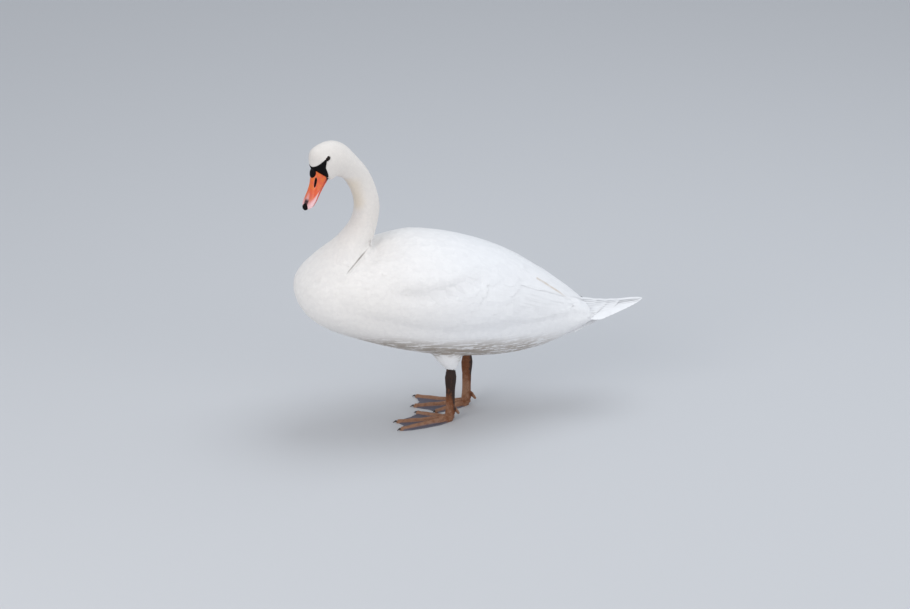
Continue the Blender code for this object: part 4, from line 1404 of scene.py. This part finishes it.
for side_name, painted_light in (("left", 0.0), ("right", 0.42)):
    nodes = [kind + side_name for kind in ("shank_", "foot_", "hind_toe_")]
    leg_flesh = joined(nodes)
    leg_shape = remeshed(leg_flesh, LEG_GRAIN)
    leg_flesh.free()
    edges = edges_of(leg_shape)
    places = smoothed(corners_of(leg_shape), edges, 10)
    ankle = middle_of("shank_" + side_name)
    gap = np.full(len(places), np.inf)
    for toe in ("inner", "middle", "outer"):
        step = (middle_of(f"claw_{side_name}_{toe}") - ankle)[:2]
        share = np.clip((places[:, :2] - ankle[:2]) @ step / (step @ step), 0.0, 1.0)
        gap = np.minimum(gap, np.linalg.norm(places[:, :2] - ankle[:2] - share[:, None] * step, axis=1))
    from_ankle = np.linalg.norm(places[:, :2] - ankle[:2], axis=1)
    flat = smooth_step(places[:, 2], 0.0095, 0.0050)
    web_share = smooth_step(gap, 0.0052, 0.0080) * flat * smooth_step(from_ankle, 0.012, 0.026)
    hind = smooth_step(places[:, 1], ankle[1] + 0.011, ankle[1] + 0.015)
    web_share *= 1.0 - hind
    outwards = normals_of(leg_shape, places)
    over_toes = smooth_step(from_ankle, 0.014, 0.022) * (1.0 - web_share)
    run_on = np.where(places[:, 2] > 0.022, places[:, 2], 0.022 - from_ankle)
    scutes = smooth_step(-outwards[:, 1], 0.35, 0.75) + over_toes * smooth_step(outwards[:, 2], 0.3, 0.7)
    scutes = np.clip(scutes, 0.0, 1.0)
    ripple = np.cos(run_on / SCUTE_LENGTH * math.tau + math.pi)
    places += outwards * (0.00022 * ripple * scutes - 0.0003 * web_share)[:, None]
    places[:, 2] = np.maximum(places[:, 2], 0.0)  # flat soles on the floor
    normals_of(leg_shape, places)
    # Painted light and shade: darker high up under the body and at the back of the shank, lighter over the
    # toes and hind toe, and the far leg paler up its shank.
    lit = 0.74 - 0.62 * smooth_step(places[:, 2], 0.030, 0.100)
    lit += painted_light * smooth_step(places[:, 2], 0.020, 0.050)
    shade_behind = smooth_step(places[:, 1] - ankle[1], -0.001, 0.009)
    lit -= 0.45 * shade_behind * smooth_step(places[:, 2], 0.012, 0.030)
    lit = np.where(hind > 0.5, 0.85, lit) + 0.15 * over_toes
    fields = {"web": web_share, "run": run_on, "shade": lit, "front": scutes}
    leg = new_piece("leg_" + side_name, leg_shape, leg_finish, **fields)
    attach(leg, "root")
    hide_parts(*nodes)
    for toe in ("inner", "middle", "outer", "hind"):
        node = f"claw_{side_name}_{toe}"
        corners = np.array([vert.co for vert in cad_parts[node].data.vertices])
        way = corners.mean(axis=0)[:2] - ankle[:2]
        way = Vector((way[0], way[1], 0.0)).normalized()
        reach = corners[:, :2] @ np.array(way[:2])
        root_end = corners[reach < reach.min() + 0.001]
        root = Vector(root_end.mean(axis=0))
        length = (reach.max() - reach.min()) * CLAW_SHOWN
        thick = np.ptp(root_end[:, 2]) / 2.0 * 0.9
        claw_shape = bmesh.new()
        bmesh.ops.create_cone(
            claw_shape, cap_ends=True, segments=14, radius1=1.0, radius2=1.0, depth=1.0,
            matrix=Matrix.Translation((0.0, 0.0, 0.5)),
        )
        rounds = [edge for edge in claw_shape.edges if abs(edge.verts[0].co.z - edge.verts[1].co.z) > 0.5]
        bmesh.ops.subdivide_edges(claw_shape, edges=rounds, cuts=9)
        side = way.cross(Vector((0.0, 0.0, 1.0)))
        for vert in claw_shape.verts:
            share = vert.co.z
            size = thick * (1.0 - 0.86 * share ** 1.4)
            fall = 1.1 * share if toe == "hind" else 0.45 * share ** 2
            upwards = Vector((0.0, 0.0, vert.co.y * size - fall * length))
            vert.co = root + way * (length * share - CLAW_ROOTED) + side * vert.co.x * size * 0.8 + upwards
        bmesh.ops.recalc_face_normals(claw_shape, faces=claw_shape.faces)
        claw = new_piece(node + "_horn", claw_shape, claw_finish)
        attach(claw, "root")
        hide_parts(node)


# ---- Floor, light and camera -------------------------------------------------------------------
# A wide grey floor of matt paint, a pale sky all round, and three large soft lamps that hang before,
# behind and over the bird. The camera has a long lens and looks down on its left side.
FLOOR_RADIUS = 14.0
CAMERA_AIM = (0.0, -0.0368, 0.2845)
CAMERA_AZIMUTH = math.radians(77.0)
CAMERA_ELEVATION = math.radians(22.0)
CAMERA_DISTANCE = 6.37
CAMERA_LENS = 105.0

floor_shape = bmesh.new()
bmesh.ops.create_circle(floor_shape, cap_ends=True, segments=96, radius=FLOOR_RADIUS)
floor_mesh = bpy.data.meshes.new("floor")
floor_shape.to_mesh(floor_mesh)
floor_shape.free()
floor = bpy.data.objects.new("floor", floor_mesh)
bpy.context.scene.collection.objects.link(floor)
floor_finish = bpy.data.materials.new("floor_paint")
floor_finish.use_nodes = True
floor_finish.node_tree.nodes["Principled BSDF"].inputs["Base Color"].default_value = (0.58, 0.59, 0.61, 1.0)
floor_finish.node_tree.nodes["Principled BSDF"].inputs["Roughness"].default_value = 0.7
floor_mesh.materials.append(floor_finish)

world = bpy.data.worlds.new("studio")
world.use_nodes = True
world.node_tree.nodes["Background"].inputs["Color"].default_value = (0.86, 0.90, 0.96, 1.0)
world.node_tree.nodes["Background"].inputs["Strength"].default_value = 0.66
bpy.context.scene.world = world
bpy.context.scene.view_settings.view_transform = "Standard"


def add_light(name, place, aim, size, power, colour):
    lamp = bpy.data.lights.new(name, "AREA")
    lamp.shape = "DISK"
    lamp.size = size
    lamp.energy = power
    lamp.color = colour
    light = bpy.data.objects.new(name, lamp)
    bpy.context.scene.collection.objects.link(light)
    light.location = place
    light.rotation_euler = (Vector(aim) - Vector(place)).to_track_quat("-Z", "Y").to_euler()


add_light("key_light", (2.3, -3.2, 2.2), (0.0, -0.1, 0.3), 2.8, 59.0, (1.0, 0.975, 0.95))
add_light("fill_light", (3.4, 2.6, 0.9), (0.0, 0.05, 0.25), 3.0, 54.0, (1.0, 0.985, 0.965))
add_light("top_light", (-0.4, 1.0, 4.0), (0.0, 0.0, 0.3), 3.0, 51.0, (0.90, 0.95, 1.0))

back = Vector((
    math.sin(CAMERA_AZIMUTH) * math.cos(CAMERA_ELEVATION),
    -math.cos(CAMERA_AZIMUTH) * math.cos(CAMERA_ELEVATION),
    math.sin(CAMERA_ELEVATION),
))
lens = bpy.data.cameras.new("camera")
lens.lens = CAMERA_LENS
lens.sensor_width = 36.0
lens.clip_end = 60.0
camera = bpy.data.objects.new("camera", lens)
bpy.context.scene.collection.objects.link(camera)
camera.location = Vector(CAMERA_AIM) + back * CAMERA_DISTANCE
camera.rotation_euler = back.to_track_quat("Z", "Y").to_euler()
bpy.context.scene.camera = camera
